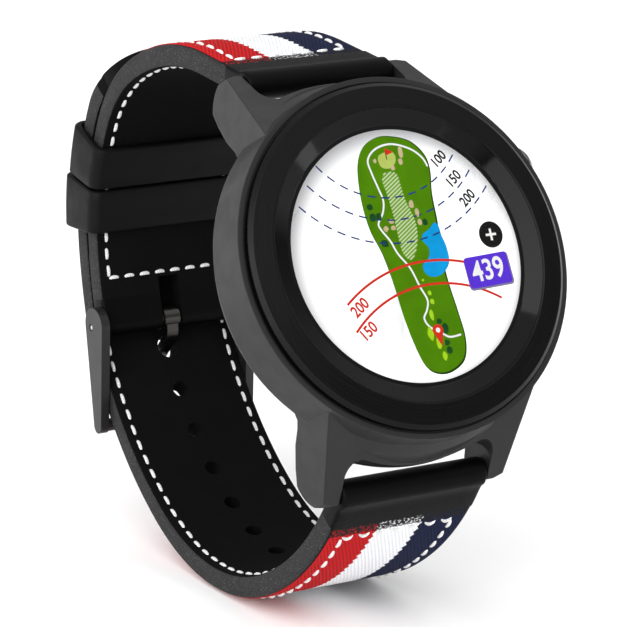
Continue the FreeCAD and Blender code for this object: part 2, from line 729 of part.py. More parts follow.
def display_holder():
    """The cup that carries the display in front and the circuit board behind."""
    body = new_body("display_holder")
    edge = named("holder_radius")
    sketch = new_sketch(body, "XY_Plane")
    draw_polygon(sketch, [
        (0.0, named("panel_back")), (edge, named("panel_back")), (edge, named("recess_depth")),
        (edge - named("holder_wall"), named("recess_depth")),
        (edge - named("holder_wall"), named("holder_floor")), (0.0, named("holder_floor"))])
    revolve(body, sketch, "V_Axis")
    sketch = new_sketch(body, "XZ_Plane", -named("holder_floor"))
    places = circle_places(mm("board_circle"), BOARD_SCREW_ANGLES)
    for place in places:
        draw_circle(sketch, place, named("board_screw") + 0.8)
    pad(body, sketch, named("board_front") - named("holder_floor"), back=True)
    sketch = new_sketch(body, "XZ_Plane", -named("board_front"))
    for place in places:
        draw_circle(sketch, place, named("board_screw") + 0.02)
    pocket(body, sketch, named("board_front") - named("panel_back") - 0.2, along=True)
    sketch = new_sketch(body, "XZ_Plane", -named("holder_floor") - 0.2, named("button_angle"))
    draw_polygon(sketch, [(15.9, -2.3), (18.5, -2.3), (18.5, 2.3), (15.9, 2.3)])
    pocket(body, sketch, 4.6)
    finish(body, "display_holder")


def screw_group(name, places, head, shank, seat, end):
    """Separate screws with heads behind the seat depth and shanks in front of it."""
    screws = []
    for x, z in places:
        head_piece = cylinder(name + "_head", head[0], head[1], along_y(x, size_of(seat).value, z))
        shank_piece = cylinder(name + "_shank", shank, size_of(seat) - end + head[1] / 2,
                               along_y(x, size_of(end).value, z))
        screws.append(fuse(name + "_screw", [head_piece, shank_piece]))
    group = DOC.addObject("Part::Compound", name)
    group.Links = screws
    finish(group, name)


def electronics():
    """Circuit board with antenna, switch, motor, battery and screws."""
    body = new_body("main_board")
    sketch = new_sketch(body, "XZ_Plane", -named("board_front"))
    draw_circle(sketch, (0, 0), named("board_radius"))
    pad(body, sketch, named("board_back") - named("board_front"), back=True)
    places = circle_places(mm("board_circle"), BOARD_SCREW_ANGLES)
    sketch = new_sketch(body, "XZ_Plane", -named("board_front"))
    for place in places:
        draw_circle(sketch, place, named("board_screw") + 0.05)
    pocket(body, sketch, named("board_back") - named("board_front") + 0.1)
    finish(body, "main_board")
    screw_group("board_screws", places, (size_of(0.85), size_of(0.4)), named("board_screw"),
                named("board_back"), named("panel_back") + 0.3)
    back = mm("board_back")
    finish(block("gps_antenna", (9.0, 3.2, 9.0), (0.0, back + 1.6, 11.0)), "gps_antenna")
    finish(block("battery", (22.0, 4.0, 16.0), (0.0, back + 2.0, -4.0)), "battery")
    finish(cylinder("vibration_motor", 4.0, 2.7, along_y(-8.6, back, 8.8)), "vibration_motor")
    turn = FreeCAD.Rotation(vector(0, 1, 0), -mm("button_angle"))
    switch = block("side_switch", (2.5, 2.6, 3.4), (0, 0, 0))
    centre = turn.multVec(vector(mm("stem_end") - 0.8 - 1.25, 0, 0)) + vector(0, back + 1.3, 0)
    switch.Placement = FreeCAD.Placement(centre, turn) * switch.Placement
    finish(switch, "side_switch")


def case_back():
    """The snap-shaped rear cover with its screws, gasket, buzzer and charging contacts."""
    body = new_body("case_back")
    dome, flange, rim = named("back_dome"), named("back_flange"), named("back_rim")
    wall = size_of(0.6)
    sketch = new_sketch(body, "XY_Plane")
    draw_polygon(sketch, [
        (0.0, named("back_face") - 1.0), (dome - 1.1, named("back_face") - 1.0),
        (flange - 2.6, rim + 0.1), (flange - 2.6, named("back_front")), (flange, named("back_front")),
        (flange, rim), (dome + 3.2, rim + 0.2), (dome, named("back_face")), (0.0, named("back_face"))])
    revolve(body, sketch, "V_Axis")
    places = circle_places(mm("screw_circle"), SCREW_ANGLES)
    sketch = new_sketch(body, "XZ_Plane", -named("back_front") + 0.1)
    for place in places:
        draw_circle(sketch, place, named("screw_shank") + 0.04)
    pocket(body, sketch, rim - named("back_front") + 1.0)
    sketch = new_sketch(body, "XZ_Plane", -named("screw_seat"))
    for place in places:
        draw_circle(sketch, place, named("screw_head") + 0.03)
    pocket(body, sketch, wall)
    contacts = contact_places()
    sketch = new_sketch(body, "XZ_Plane", -named("back_face") + 1.1)
    for place in contacts:
        draw_circle(sketch, place, named("contact_radius") + 0.03)
    pocket(body, sketch, 1.3)
    finish(body, "case_back")
    screw_group("case_back_screws", places, (named("screw_head"), size_of(0.4)),
                named("screw_shank"), named("screw_seat"), named("screw_end"))
    turned("back_gasket", ring(named("oring_inner"), named("oring_outer"),
                               named("oring_floor"), named("back_front")))
    finish(cylinder("buzzer_disc", 6.0, 0.4, along_y(0, mm("back_face") - 1.4, 0)), "buzzer_disc")
    charging_contacts(contacts)


def contact_places():
    pitch = mm("contact_pitch")
    return [((i - 1.5) * pitch, mm("contact_height")) for i in range(4)]


def charging_contacts(places):
    """Four contact pins, each with a shoulder inside the case back."""
    inside = mm("back_face") - 1.0
    pins = []
    for x, z in places:
        shoulder = cylinder("contact_shoulder", 1.1, 0.3, along_y(x, inside - 0.3, z))
        pin = cylinder("contact_pin", named("contact_radius"), 1.3, along_y(x, inside - 0.3, z))
        pins.append(fuse("contact", [shoulder, pin]))
    group = DOC.addObject("Part::Compound", "charging_contacts")
    group.Links = pins
    finish(group, "charging_contacts")


def button():
    """Cap with its stem, return spring and clip, and the seal in the case."""
    turn = FreeCAD.Rotation(vector(0, 1, 0), -mm("button_angle"))
    place = FreeCAD.Placement(vector(0, mm("button_depth"), 0), turn)
    stem, cap, face = named("stem_radius"), named("button_radius"), named("button_face")
    spindle("button_cap", [
        (named("stem_end"), 0.0), (named("stem_end"), stem), (named("button_hollow"), stem),
        (named("button_hollow"), cap - 0.5), (named("button_seat"), cap - 0.5),
        (named("button_seat"), cap), (face - 0.75, cap), (face - 0.35, cap - 0.3),
        (face - 0.1, cap - 1.0), (face, cap - 1.8), (face, 0.0)], place)
    spindle("button_spring", [
        (named("button_seat") - 0.05, stem + 0.3), (named("button_hollow"), stem + 0.3),
        (named("button_hollow"), stem + 0.9), (named("button_seat") - 0.05, stem + 0.9)], place)
    spindle("button_clip", [(17.5, stem), (17.75, stem), (17.75, 1.7), (17.5, 1.7)], place)
    seal = named("stem_hole") + 0.4
    spindle("button_seal", [(19.2, stem + 0.02), (19.8, stem + 0.02), (19.8, seal), (19.2, seal)], place)


# ---------------------------------------------------------------- spring bars
def spring_bar(prefix, depth, height, tube_radius):
    """Tube, two sliding tips and the spring behind each tip."""
    place = FreeCAD.Placement(vector(0, depth, height), FreeCAD.Rotation())
    half, bore = named("bar_length") / 2, named("bar_bore")
    spindle(prefix + "_tube", [(-half, bore), (half, bore), (half, tube_radius), (-half, tube_radius)], place)
    tail, shoulder, reach = named("tip_tail"), named("tip_shoulder"), named("tip_reach")
    guide, nose = named("tip_guide"), named("tip_radius")
    for side, way in (("left", -1.0), ("right", 1.0)):
        outline = [(tail, 0.0), (tail, guide), (shoulder, guide), (shoulder, nose),
                   (reach - 0.15, nose), (reach, nose - 0.12), (reach, 0.0)]
        spindle(f"{prefix}_tip_{side}", [(x * way, r) for x, r in outline], place)
        spring = [(0.05, 0.22), (tail, 0.22), (tail, guide - 0.03), (0.05, guide - 0.03)]
        spindle(f"{prefix}_spring_{side}", [(size_of(x) * way, r) for x, r in spring], place)


# ---------------------------------------------------------------- strap
class StrapLayers:
    """Leather, lining and woven inlay along one route."""

    def __init__(self, track, outward):
        """outward is +1 where the outside of the strap is left of the route, else -1."""
        self.track = track
        half = mm("strap_thick") / 2
        self.skin = outward * half
        self.inner = -outward * half
        self.middle = outward * (half - mm("leather_thick"))
        self.inlay = outward * (half - mm("fabric_thick"))
        self.above = outward * (half + 0.6)

    def strip(self, body, low, high, right, left):
        """Adds a full-width strip to the body."""
        sketch = new_sketch(body, "YZ_Plane")
        draw_curves(sketch, self.track.strip(low, high, right, left))
        pad(body, sketch, named("strap_width"), midplane=True)

    def head(self, body, station, radius):
        """Adds the fold round a spring bar."""
        sketch = new_sketch(body, "YZ_Plane")
        draw_circle(sketch, self.track.at(station)[0], radius)
        pad(body, sketch, named("strap_width"), midplane=True)

    def bore(self, body, station):
        sketch = new_sketch(body, "YZ_Plane")
        draw_circle(sketch, self.track.at(station)[0], named("head_bore"))
        pocket(body, sketch, named("strap_width") + 1.0, midplane=True)

    def recess(self, body, low, high):
        """Sinks the place of the woven inlay into the leather."""
        sketch = new_sketch(body, "YZ_Plane")
        draw_curves(sketch, self.track.strip(low, high, self.inlay, self.above))
        pocket(body, sketch, named("fabric_width"), midplane=True)

    def punch(self, body, holes):
        """Round holes right through, each given as (station, radius)."""
        for station, radius in holes:
            sketch = route_sketch(body, self.track, station)
            draw_circle(sketch, (0, 0), radius)
            pocket(body, sketch, named("strap_thick") * 2, midplane=True)

    def slot(self, body):
        """The slot for the tongue at the buckle end of the route."""
        station = self.track.length
        sketch = route_sketch(body, self.track, station)
        half, run, past = named("slot_width") / 2, named("slot_run"), named("buckle_head") + 1.0
        draw_polygon(sketch, [(-half, -run), (half, -run), (half, past), (-half, past)])
        pocket(body, sketch, named("strap_thick") * 2, midplane=True)

    def tip(self, bodies):
        """Rounds the free end of the strap."""
        half, long = mm("strap_width") / 2, mm("strap_width") * 0.45
        for body in bodies:
            sketch = route_sketch(body, self.track, self.track.length)
            for way in (1, -1):
                a, b, c = (way * (half + 1), 1.0), (way * half, -long), (way * half * 0.35, 0.0)
                bend = (way * half * 0.83, -long * 0.32)
                d = (way * half * 0.35, 1.0)
                e = (way * (half + 1), -long)
                draw_curves(sketch, [
                    Part.Arc(vector(*b, 0), vector(*bend, 0), vector(*c, 0)),
                    Part.LineSegment(vector(*c, 0), vector(*d, 0)),
                    Part.LineSegment(vector(*d, 0), vector(*a, 0)),
                    Part.LineSegment(vector(*a, 0), vector(*e, 0)),
                    Part.LineSegment(vector(*e, 0), vector(*b, 0))])
            pocket(body, sketch, named("strap_thick") * 2, midplane=True)

    def fabric(self, name, low, high):
        body = new_body(name)
        sketch = new_sketch(body, "YZ_Plane")
        draw_curves(sketch, self.track.strip(low, high, self.inlay, self.skin))
        pad(body, sketch, named("fabric_width"), midplane=True)
        return body

    def lining(self, name, low, high):
        body = new_body(name)
        self.strip(body, low, high, self.inner, self.middle)
        return body

    def leather(self, name, low, high):
        body = new_body(name)
        self.strip(body, low, high, self.middle, self.skin)
        return body


RELIEF = mm("flex_relief") / 2


def lug_half(prefix, layers, flex, holes):
    """The part of a strap between its lug head and its flex axis."""
    fold, weave, end = mm("lining_start"), mm("fabric_start"), flex - RELIEF
    leather = layers.leather(prefix + "_leather_front", 0.0, end)
    layers.strip(leather, 0.0, fold, layers.inner, layers.skin)
    layers.head(leather, 0.0, named("head_radius"))
    layers.bore(leather, 0.0)
    layers.recess(leather, weave, end)
    lining = layers.lining(prefix + "_lining_front", fold, end)
    fabric = layers.fabric(prefix + "_fabric_front", weave, end)
    for body in (leather, lining, fabric):
        layers.punch(body, holes)
        finish(body, body.Name)


def short_strap():
    """12 o'clock strap: lug half, and buckle half with its slot and fold."""
    layers = StrapLayers(SHORT, 1)
    lug_half("short", layers, SHORT_FLEX, [])
    start, end = SHORT_FLEX + RELIEF, SHORT.length
    fold = end - mm("lining_start") - mm("slot_run")
    leather = layers.leather("short_leather_back", start, end)
    layers.strip(leather, fold, end, layers.inner, layers.skin)
    layers.head(leather, end, named("buckle_head"))
    layers.bore(leather, end)
    layers.recess(leather, start, fold)
    layers.slot(leather)
    finish(leather, "short_leather_back")
    finish(layers.lining("short_lining_back", start, fold), "short_lining_back")
    finish(layers.fabric("short_fabric_back", start, fold), "short_fabric_back")


def long_strap():
    """6 o'clock strap: lug half, and the tail that passes the buckle and the keepers."""
    layers = StrapLayers(LONG, -1)
    round_holes = [(station, named("hole_radius")) for station in HOLES]
    lug_half("long", layers, LONG_FLEX, [h for h in round_holes if h[0] < LONG_FLEX])
    holes = [h for h in round_holes if h[0] > LONG_FLEX] + [(TONGUE_HOLE_AT, named("tongue_hole"))]
    start, end = LONG_FLEX + RELIEF, LONG.length
    weave_end = end - mm("tail_margin")
    leather = layers.leather("tail_leather", start, end)
    layers.recess(leather, start, weave_end)
    lining = layers.lining("tail_lining", start, end)
    fabric = layers.fabric("tail_fabric", start, weave_end)
    for body in (leather, lining, fabric):
        layers.punch(body, holes)
        finish(body, body.Name)
    layers.tip([leather, lining])


def keeper(name, heading, swell, inner_play):
    """A loop round both straps, turned about the centre of the bend that it sits on."""
    body = new_body(name)
    centre, bend = SHORT.centre_at(SHORT.station_at(heading))
    half = mm("strap_thick") / 2
    inner = bend - half - inner_play
    outer = bend + half * 3 + mm("layer_gap") + mm("keeper_play") + swell
    wall = mm("keeper_wall")
    spread = math.radians(mm("keeper_angle")) / 2
    middle = math.radians(heading + 90.0)

    def sector(low, high):
        ends = []
        arcs = []
        for radius in (low, high):
            ring_points = [(centre[0] + radius * math.cos(middle + turn * spread),
                            centre[1] + radius * math.sin(middle + turn * spread)) for turn in (-1, 0, 1)]
            arcs.append(Part.Arc(*[vector(*p, 0) for p in ring_points]))
            ends.append(ring_points)
        sides = [Part.LineSegment(vector(*ends[0][i], 0), vector(*ends[1][i], 0)) for i in (0, 2)]
        return arcs + sides

    sketch = new_sketch(body, "YZ_Plane")
    draw_curves(sketch, sector(inner - wall, outer + wall))
    pad(body, sketch, named("keeper_inside") + named("keeper_wall") * 2, midplane=True)
    sketch = new_sketch(body, "YZ_Plane")
    circle_low, circle_high = Part.Circle(), Part.Circle()
    for circle, radius in ((circle_low, inner), (circle_high, outer)):
        circle.Center = vector(*centre, 0)
        circle.Radius = radius
    draw_curves(sketch, [circle_low, circle_high])
    pocket(body, sketch, named("keeper_inside"), midplane=True)
    finish(body, name)


# ---------------------------------------------------------------- buckle
CROSS_BAR = LONG.at(LONG.station_at(JOINED) - mm("cross_below"),
                    -mm("strap_thick") / 2 - mm("cross_radius") - 0.2)[0]


def hull_of_circles(first, first_radius, second, second_radius):
    """Outline of two circles joined by their outer tangents."""
    dy, dz = second[0] - first[0], second[1] - first[1]
    way = math.atan2(dz, dy)
    lean_in = math.acos((first_radius - second_radius) / math.hypot(dy, dz))

    def spot(centre, radius, angle):
        return vector(centre[0] + radius * math.cos(angle), centre[1] + radius * math.sin(angle), 0)

    up, down = way + lean_in, way - lean_in
    return [
        Part.Arc(spot(first, first_radius, up), spot(first, first_radius, way + math.pi),
                 spot(first, first_radius, down)),
        Part.Arc(spot(second, second_radius, down), spot(second, second_radius, way),
                 spot(second, second_radius, up)),
        Part.LineSegment(spot(first, first_radius, up), spot(second, second_radius, up)),
        Part.LineSegment(spot(first, first_radius, down), spot(second, second_radius, down))]


def buckle_frame():
    """Two ears on the buckle bar, joined by the cross bar outside the strap."""
    body = new_body("buckle_frame")
    ear, inner = named("ear_thick"), named("ear_inner")
    sketch = new_sketch(body, "YZ_Plane")
    draw_circle(sketch, CROSS_BAR, named("cross_radius"))
    pad(body, sketch, (inner + ear) * 2, midplane=True)
    boss = (BUCKLE_BAR[0] - mm("ear_back"), BUCKLE_BAR[1])
    for lift in (inner, -inner - ear):
        sketch = new_sketch(body, "YZ_Plane", lift)
        draw_curves(sketch, hull_of_circles(boss, mm("ear_radius"), CROSS_BAR, mm("cross_radius") + 0.15))
        pad(body, sketch, ear)
    sketch = new_sketch(body, "YZ_Plane")
    draw_circle(sketch, BUCKLE_BAR, named("ear_hole"))
    pocket(body, sketch, (inner + ear) * 2 + 1.0, midplane=True)
    finish(body, "buckle_frame")


def buckle_tongue():
    """The tongue: a loop round the buckle bar and an arm through the strap's hole."""
    body = new_body("buckle_tongue")
    sketch = new_sketch(body, "YZ_Plane")
    draw_circle(sketch, BUCKLE_BAR, named("tongue_ring"))
    pad(body, sketch, named("tongue_width"), midplane=True)
    half, bend = mm("tongue_thick") / 2, mm("tongue_bend")
    start_heading, drop, rest = mm("tongue_start"), mm("tongue_drop"), mm("tongue_rest")
    root = (BUCKLE_BAR[0] - 0.42, BUCKLE_BAR[1] - 1.03)
    arm = Track(root, start_heading, [
        (0.7, None), (bend, drop - start_heading), (mm("tongue_cross"), None),
        (bend, rest - drop), (mm("tongue_reach"), None)])
    sketch = new_sketch(body, "YZ_Plane")
    draw_curves(sketch, arm.strip(0.0, arm.length, -half, half))
    pad(body, sketch, named("tongue_arm"), midplane=True)
    sketch = new_sketch(body, "YZ_Plane")
    draw_circle(sketch, BUCKLE_BAR, named("tongue_bore"))
    pocket(body, sketch, named("tongue_width") + 1.0, midplane=True)
    finish(body, "buckle_tongue")


# ---------------------------------------------------------------- assembly
def stand_up():
    """Leans the watch back and puts the bottom centre of its box on the origin."""
    lean = FreeCAD.Placement(vector(0, 0, 0), FreeCAD.Rotation(vector(1, 0, 0), -mm("lean")))
    DOC.recompute()
    box = FreeCAD.BoundBox()
    for piece, local in PARTS:
        piece.Placement = lean * local
    DOC.recompute()
    for piece, _ in PARTS:
        for corner in piece.Shape.tessellate(0.01)[0]:
            box.add(corner)
    shift = FreeCAD.Placement(vector(-box.Center.x, -box.Center.y, -box.ZMin), FreeCAD.Rotation())
    whole = shift * lean
    for piece, local in PARTS:
        piece.Placement = whole * local
    DOC.recompute()
    print("box", [round(v, 3) for v in (box.XLength, box.YLength, box.ZLength)])
    return whole


def check_all():
    """Stops the build when an object failed or a shape is missing or broken."""
    for piece in DOC.Objects:
        if any(flag in piece.State for flag in ("Invalid", "Error")):
            raise RuntimeError(f"{piece.Label}: {piece.State}")
    for piece, _ in PARTS:
        if piece.Shape.isNull() or not piece.Shape.isValid() or piece.Shape.Volume <= 0:
            raise RuntimeError(f"{piece.Label}: no valid solid")


def print_points(whole):
    """Positions and directions of the joints in the finished frame, in millimetres."""
    points = {
        "upper bar": (0, mm("bar_depth"), mm("bar_height")),
        "lower bar": (0, mm("bar_depth"), -mm("bar_height")),
        "short flex": (0, *SHORT.at(SHORT_FLEX)[0]),
        "long flex": (0, *LONG.at(LONG_FLEX)[0]),
        "buckle bar": (0, *BUCKLE_BAR),
        "keeper centre": (0, *SHORT.centre_at(SHORT.station_at(mm("free_keeper_at")))[0]),
        "button": (0, mm("button_depth"), 0),
        "back centre": (0, mm("back_face"), 0),
        "display centre": (0, mm("display_depth"), 0),
        "bezel centre": (0, 0, 0),
    }
    for name, point in points.items():
        print(name, [round(v, 4) for v in whole.multVec(vector(*point))])
    angle = math.radians(mm("button_angle"))
    directions = {"button axis": (math.cos(angle), 0, math.sin(angle)), "depth axis": (0, 1, 0)}
    for name, direction in directions.items():
        print(name, [round(v, 6) for v in whole.Rotation.multVec(vector(*direction))])


def build():
    mid_case()
    bezel_and_glass()
    display_holder()
    electronics()
    case_back()
    button()
    spring_bar("upper_bar", mm("bar_depth"), mm("bar_height"), named("bar_radius"))
    spring_bar("lower_bar", mm("bar_depth"), -mm("bar_height"), named("bar_radius"))
    spring_bar("buckle_bar", *BUCKLE_BAR, named("bar_radius"))
    short_strap()
    long_strap()
    keeper("free_keeper", mm("free_keeper_at"), 0.0, mm("keeper_play"))
    keeper("fixed_keeper", mm("fixed_keeper_at"), mm("keeper_swell"), mm("fixed_play"))
    buckle_frame()
    buckle_tongue()
    whole = stand_up()
    check_all()
    os.makedirs("parts", exist_ok=True)
    for piece, _ in PARTS:
        piece.Shape.exportStep(f"parts/{piece.Label}.step")
        print(f"{piece.Label}: {piece.Shape.Volume:.2f} mm3, {len(piece.Shape.Solids)} solids")
    print_points(whole)


build()
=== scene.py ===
"""Golf GPS watch standing on its closed strap: looks, light and camera.

Working frame of the watch, in millimetres: X from 9 to 3 o'clock, Y the depth behind the
front of the bezel, Z towards 12 o'clock.  The case leans back about X in the row frame.
"""

import bmesh
import bpy
import math
import random
from mathutils import Matrix, Vector


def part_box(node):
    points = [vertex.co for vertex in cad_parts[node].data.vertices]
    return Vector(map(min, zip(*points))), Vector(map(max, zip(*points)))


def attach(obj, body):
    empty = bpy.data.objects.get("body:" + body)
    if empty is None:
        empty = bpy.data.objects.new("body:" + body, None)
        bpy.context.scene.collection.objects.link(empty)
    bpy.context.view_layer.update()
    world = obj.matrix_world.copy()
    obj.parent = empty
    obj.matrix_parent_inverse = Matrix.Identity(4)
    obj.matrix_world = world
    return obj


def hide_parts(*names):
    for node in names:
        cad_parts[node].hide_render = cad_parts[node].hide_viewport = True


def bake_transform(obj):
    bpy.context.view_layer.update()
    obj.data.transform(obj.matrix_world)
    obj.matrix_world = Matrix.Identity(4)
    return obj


MM = 0.001
LEAN = math.radians(26.05)
BAR_DEPTH, BAR_HEIGHT = 12.70, 25.10

STRAP_HALF, STRAP_THICK, LAYER_GAP = 10.0, 2.90, 0.15
HALF_THICK = STRAP_THICK / 2
HEAD_RADIUS, HEAD_BORE = 1.85, 0.83
FOLD_REACH, FOLD_LEATHER = 3.0, 3.6
EDGE_ROUNDING, EDGE_BAND, FACE_BAND = 0.42, 0.28, 0.10
STATION_STEP, WEAVE_STEP, TAIL_STEP = 0.8, 0.6, 0.5
FABRIC_HALF, FABRIC_START, FABRIC_SINK = 9.45, 4.60, 0.14
HOLE_PITCH, HOLE_RADIUS, TONGUE_HOLE = 6.40, 1.10, 1.55
TONGUE_HOLE_BELOW = 4.10
SLOT_HALF, SLOT_RUN = 1.45, 5.60
KEEPER_WALL, KEEPER_PLAY, KEEPER_HALF = 0.90, 0.12, 11.20
KEEPER_ANGLE, KEEPER_SWELL, KEEPER_CORNERS = 11.60, 0.70, (1.5, 0.7)
# turn from a keeper's edge in degrees, and how far the section is drawn in there
KEEPER_EDGE = [(0.0, 0.32), (0.10, 0.16), (0.22, 0.0576), (0.34, 0.0)]
FREE_KEEPER_AT, FIXED_KEEPER_AT = -47.9, -60.0
DISPLAY_DEPTH = 1.60
SEAM_INSET = 1.75
STITCH_FAT, STITCH_RISE, STITCH_SINK = 0.25, 0.20, 0.12
STITCH_LENGTH, STITCH_GAP, STITCH_WANDER = 1.65, 0.75, 0.05
STITCH_STEPS, STITCH_SIDES = 8, 8
HOLE_SIDES, BAR_SIDES = 28, 24
WEAVE_PITCH, TEETH_PITCH, PIXEL_PITCH = 0.50, 1.24, 0.09
FUSED_BAND = (1.85, 2.25)
FLEX_HALF = 2.2
TAIL_TAPER, TAIL_TIP_HALF = 9.0, 3.5
WEAVE_END_SHORT, WEAVE_END_LONG = 9.4, 5.0
SHARP_FROM = math.radians(35)

# ---- light and camera
CAMERA_OFFSET = Vector((-0.2033, -0.3281, 0.0918))
CAMERA_RIGHT = Vector((0.8645, -0.5026, 0.0))
CAMERA_FORWARD = Vector((0.4870, 0.8375, -0.2479))
LENS, SENSOR = 195.3, 36.0
# the sky brightens between two heights of the view direction, from the first strength to the second
SKY_HEIGHTS, SKY_LIGHT = (0.15, 0.85), (0.22, 1.15)
HORIZON_HEIGHTS, HORIZON_LIGHT = (0.10, 0.20), (1.05, 0.0)
SUN_LIGHT, SUN_WIDTH, SUN_FROM = 2.8, math.radians(70), Vector((-0.60, -0.80, 0.55))
# name, place from the middle of the case, size and radiance
SOFTBOXES = [
    ("left_back_box", (-0.42, 0.30, 0.10), (0.25, 0.30), 3.4),
    ("left_front_box", (-0.40, -0.16, 0.14), (0.14, 0.25), 1.8),
    ("low_front_box", (-0.10, -0.50, -0.01), (0.40, 0.04), 3.0),
    ("right_box", (0.38, -0.25, -0.02), (0.05, 0.20), 2.2),
]
SCREEN_GLOW, INK_GLOW = 1.3, 0.95
FLOOR_HALF, FLOOR_BELOW = 40.0, -0.27

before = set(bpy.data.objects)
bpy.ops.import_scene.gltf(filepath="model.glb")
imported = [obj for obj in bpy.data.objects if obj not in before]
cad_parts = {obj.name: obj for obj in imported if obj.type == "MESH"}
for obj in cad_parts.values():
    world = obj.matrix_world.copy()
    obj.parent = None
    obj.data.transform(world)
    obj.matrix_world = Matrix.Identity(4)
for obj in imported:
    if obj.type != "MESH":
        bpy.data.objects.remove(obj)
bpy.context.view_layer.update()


def centre_of(node):
    """Middle of a node's box."""
    low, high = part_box(node)
    return (low + high) / 2


STAND = Matrix.Rotation(-LEAN, 4, "X")
BAR_CENTRE = centre_of("upper_bar_tube")
STAND = Matrix.Translation(BAR_CENTRE - STAND @ Vector((0, BAR_DEPTH, BAR_HEIGHT)) * MM) @ STAND


def row(x, y, z):
    """A working-frame point in millimetres as a row-frame point in metres."""
    return STAND @ Vector((x * MM, y * MM, z * MM))


# ---------------------------------------------------------------- strap routes
class Route:
    """Straight runs and tangent arcs in the YZ plane of the working frame."""

    def __init__(self, start, heading, runs):
        """runs holds (length, 0) for a straight and (radius, turn in degrees) for an arc."""
        self.pieces = []
        point, angle, station = start, math.radians(heading), 0.0
        for reach, turn in runs:
            swing = math.radians(turn)
            length = abs(reach * swing) if turn else reach
            self.pieces.append((station, point, angle, reach, swing))
            point, angle = self.walk(point, angle, reach, swing, length)
            station += length
        self.length, self.end, self.end_angle = station, point, angle

    @staticmethod
    def walk(point, angle, reach, swing, distance):
        if swing == 0.0:
            return (point[0] + distance * math.cos(angle), point[1] + distance * math.sin(angle)), angle
        side = math.copysign(reach, swing)
        centre = (point[0] - side * math.sin(angle), point[1] + side * math.cos(angle))
        angle += distance / side
        return (centre[0] + side * math.sin(angle), centre[1] - side * math.cos(angle)), angle

    def piece_at(self, station):
        found = [p for p in self.pieces if p[0] <= station + 1e-9]
        return found[-1] if found else self.pieces[0]

    def at(self, station, offset=0.0):
        """Point left of the route by the offset, and the heading in radians."""
        start, point, angle, reach, swing = self.piece_at(station)
        point, angle = self.walk(point, angle, reach, swing, station - start)
        return (point[0] - offset * math.sin(angle), point[1] + offset * math.cos(angle)), angle

    def station_at(self, heading):
        wanted = math.radians(heading)
        for start, _, angle, reach, swing in self.pieces:
            low, high = sorted((angle, angle + swing))
            if swing and low - 1e-9 <= wanted <= high + 1e-9:
                return start + abs(wanted - angle) * reach
        raise ValueError(f"the route never heads {heading}")

    def centre_at(self, station):
        _, point, angle, reach, swing = self.piece_at(station)
        side = math.copysign(reach, swing)
        return (point[0] - side * math.sin(angle), point[1] + side * math.cos(angle)), reach

    def spot(self, x, station, offset):
        """The row-frame point at a place across, along and above the route."""
        (y, z), _ = self.at(station, offset)
        return row(x, y, z)


SHORT_BENDS = [(33.40, 32.0, -2.5), (19.00, -2.5, -36.0), (30.50, -36.0, -70.0), (53.00, -70.0, -81.2)]
SHORT = Route((BAR_DEPTH, BAR_HEIGHT), 32.0,
              [(10.40, 0)] + [(radius, end - start) for radius, start, end in SHORT_BENDS])
BUCKLE_BAR = SHORT.end
JOINED = math.degrees(SHORT.end_angle) + 180.0
OVER = STRAP_THICK + LAYER_GAP
LONG = Route((BAR_DEPTH, -BAR_HEIGHT), -33.0, [
    (1.00, 0), (39.12, 33.0), (30.00, 56.0), (46.88, 28.0), (22.00, JOINED - 84.0),
    (53.00 + OVER, 11.2), (30.50 + OVER, 34.0), (19.00 + OVER, 23.0)])
SHORT_FLEX = SHORT.station_at(-2.5)
TONGUE_HOLE_AT = LONG.station_at(JOINED) - TONGUE_HOLE_BELOW
HOLES = [TONGUE_HOLE_AT - HOLE_PITCH * number for number in range(1, 7)]
LONG_FLEX = TONGUE_HOLE_AT - HOLE_PITCH * 4.5


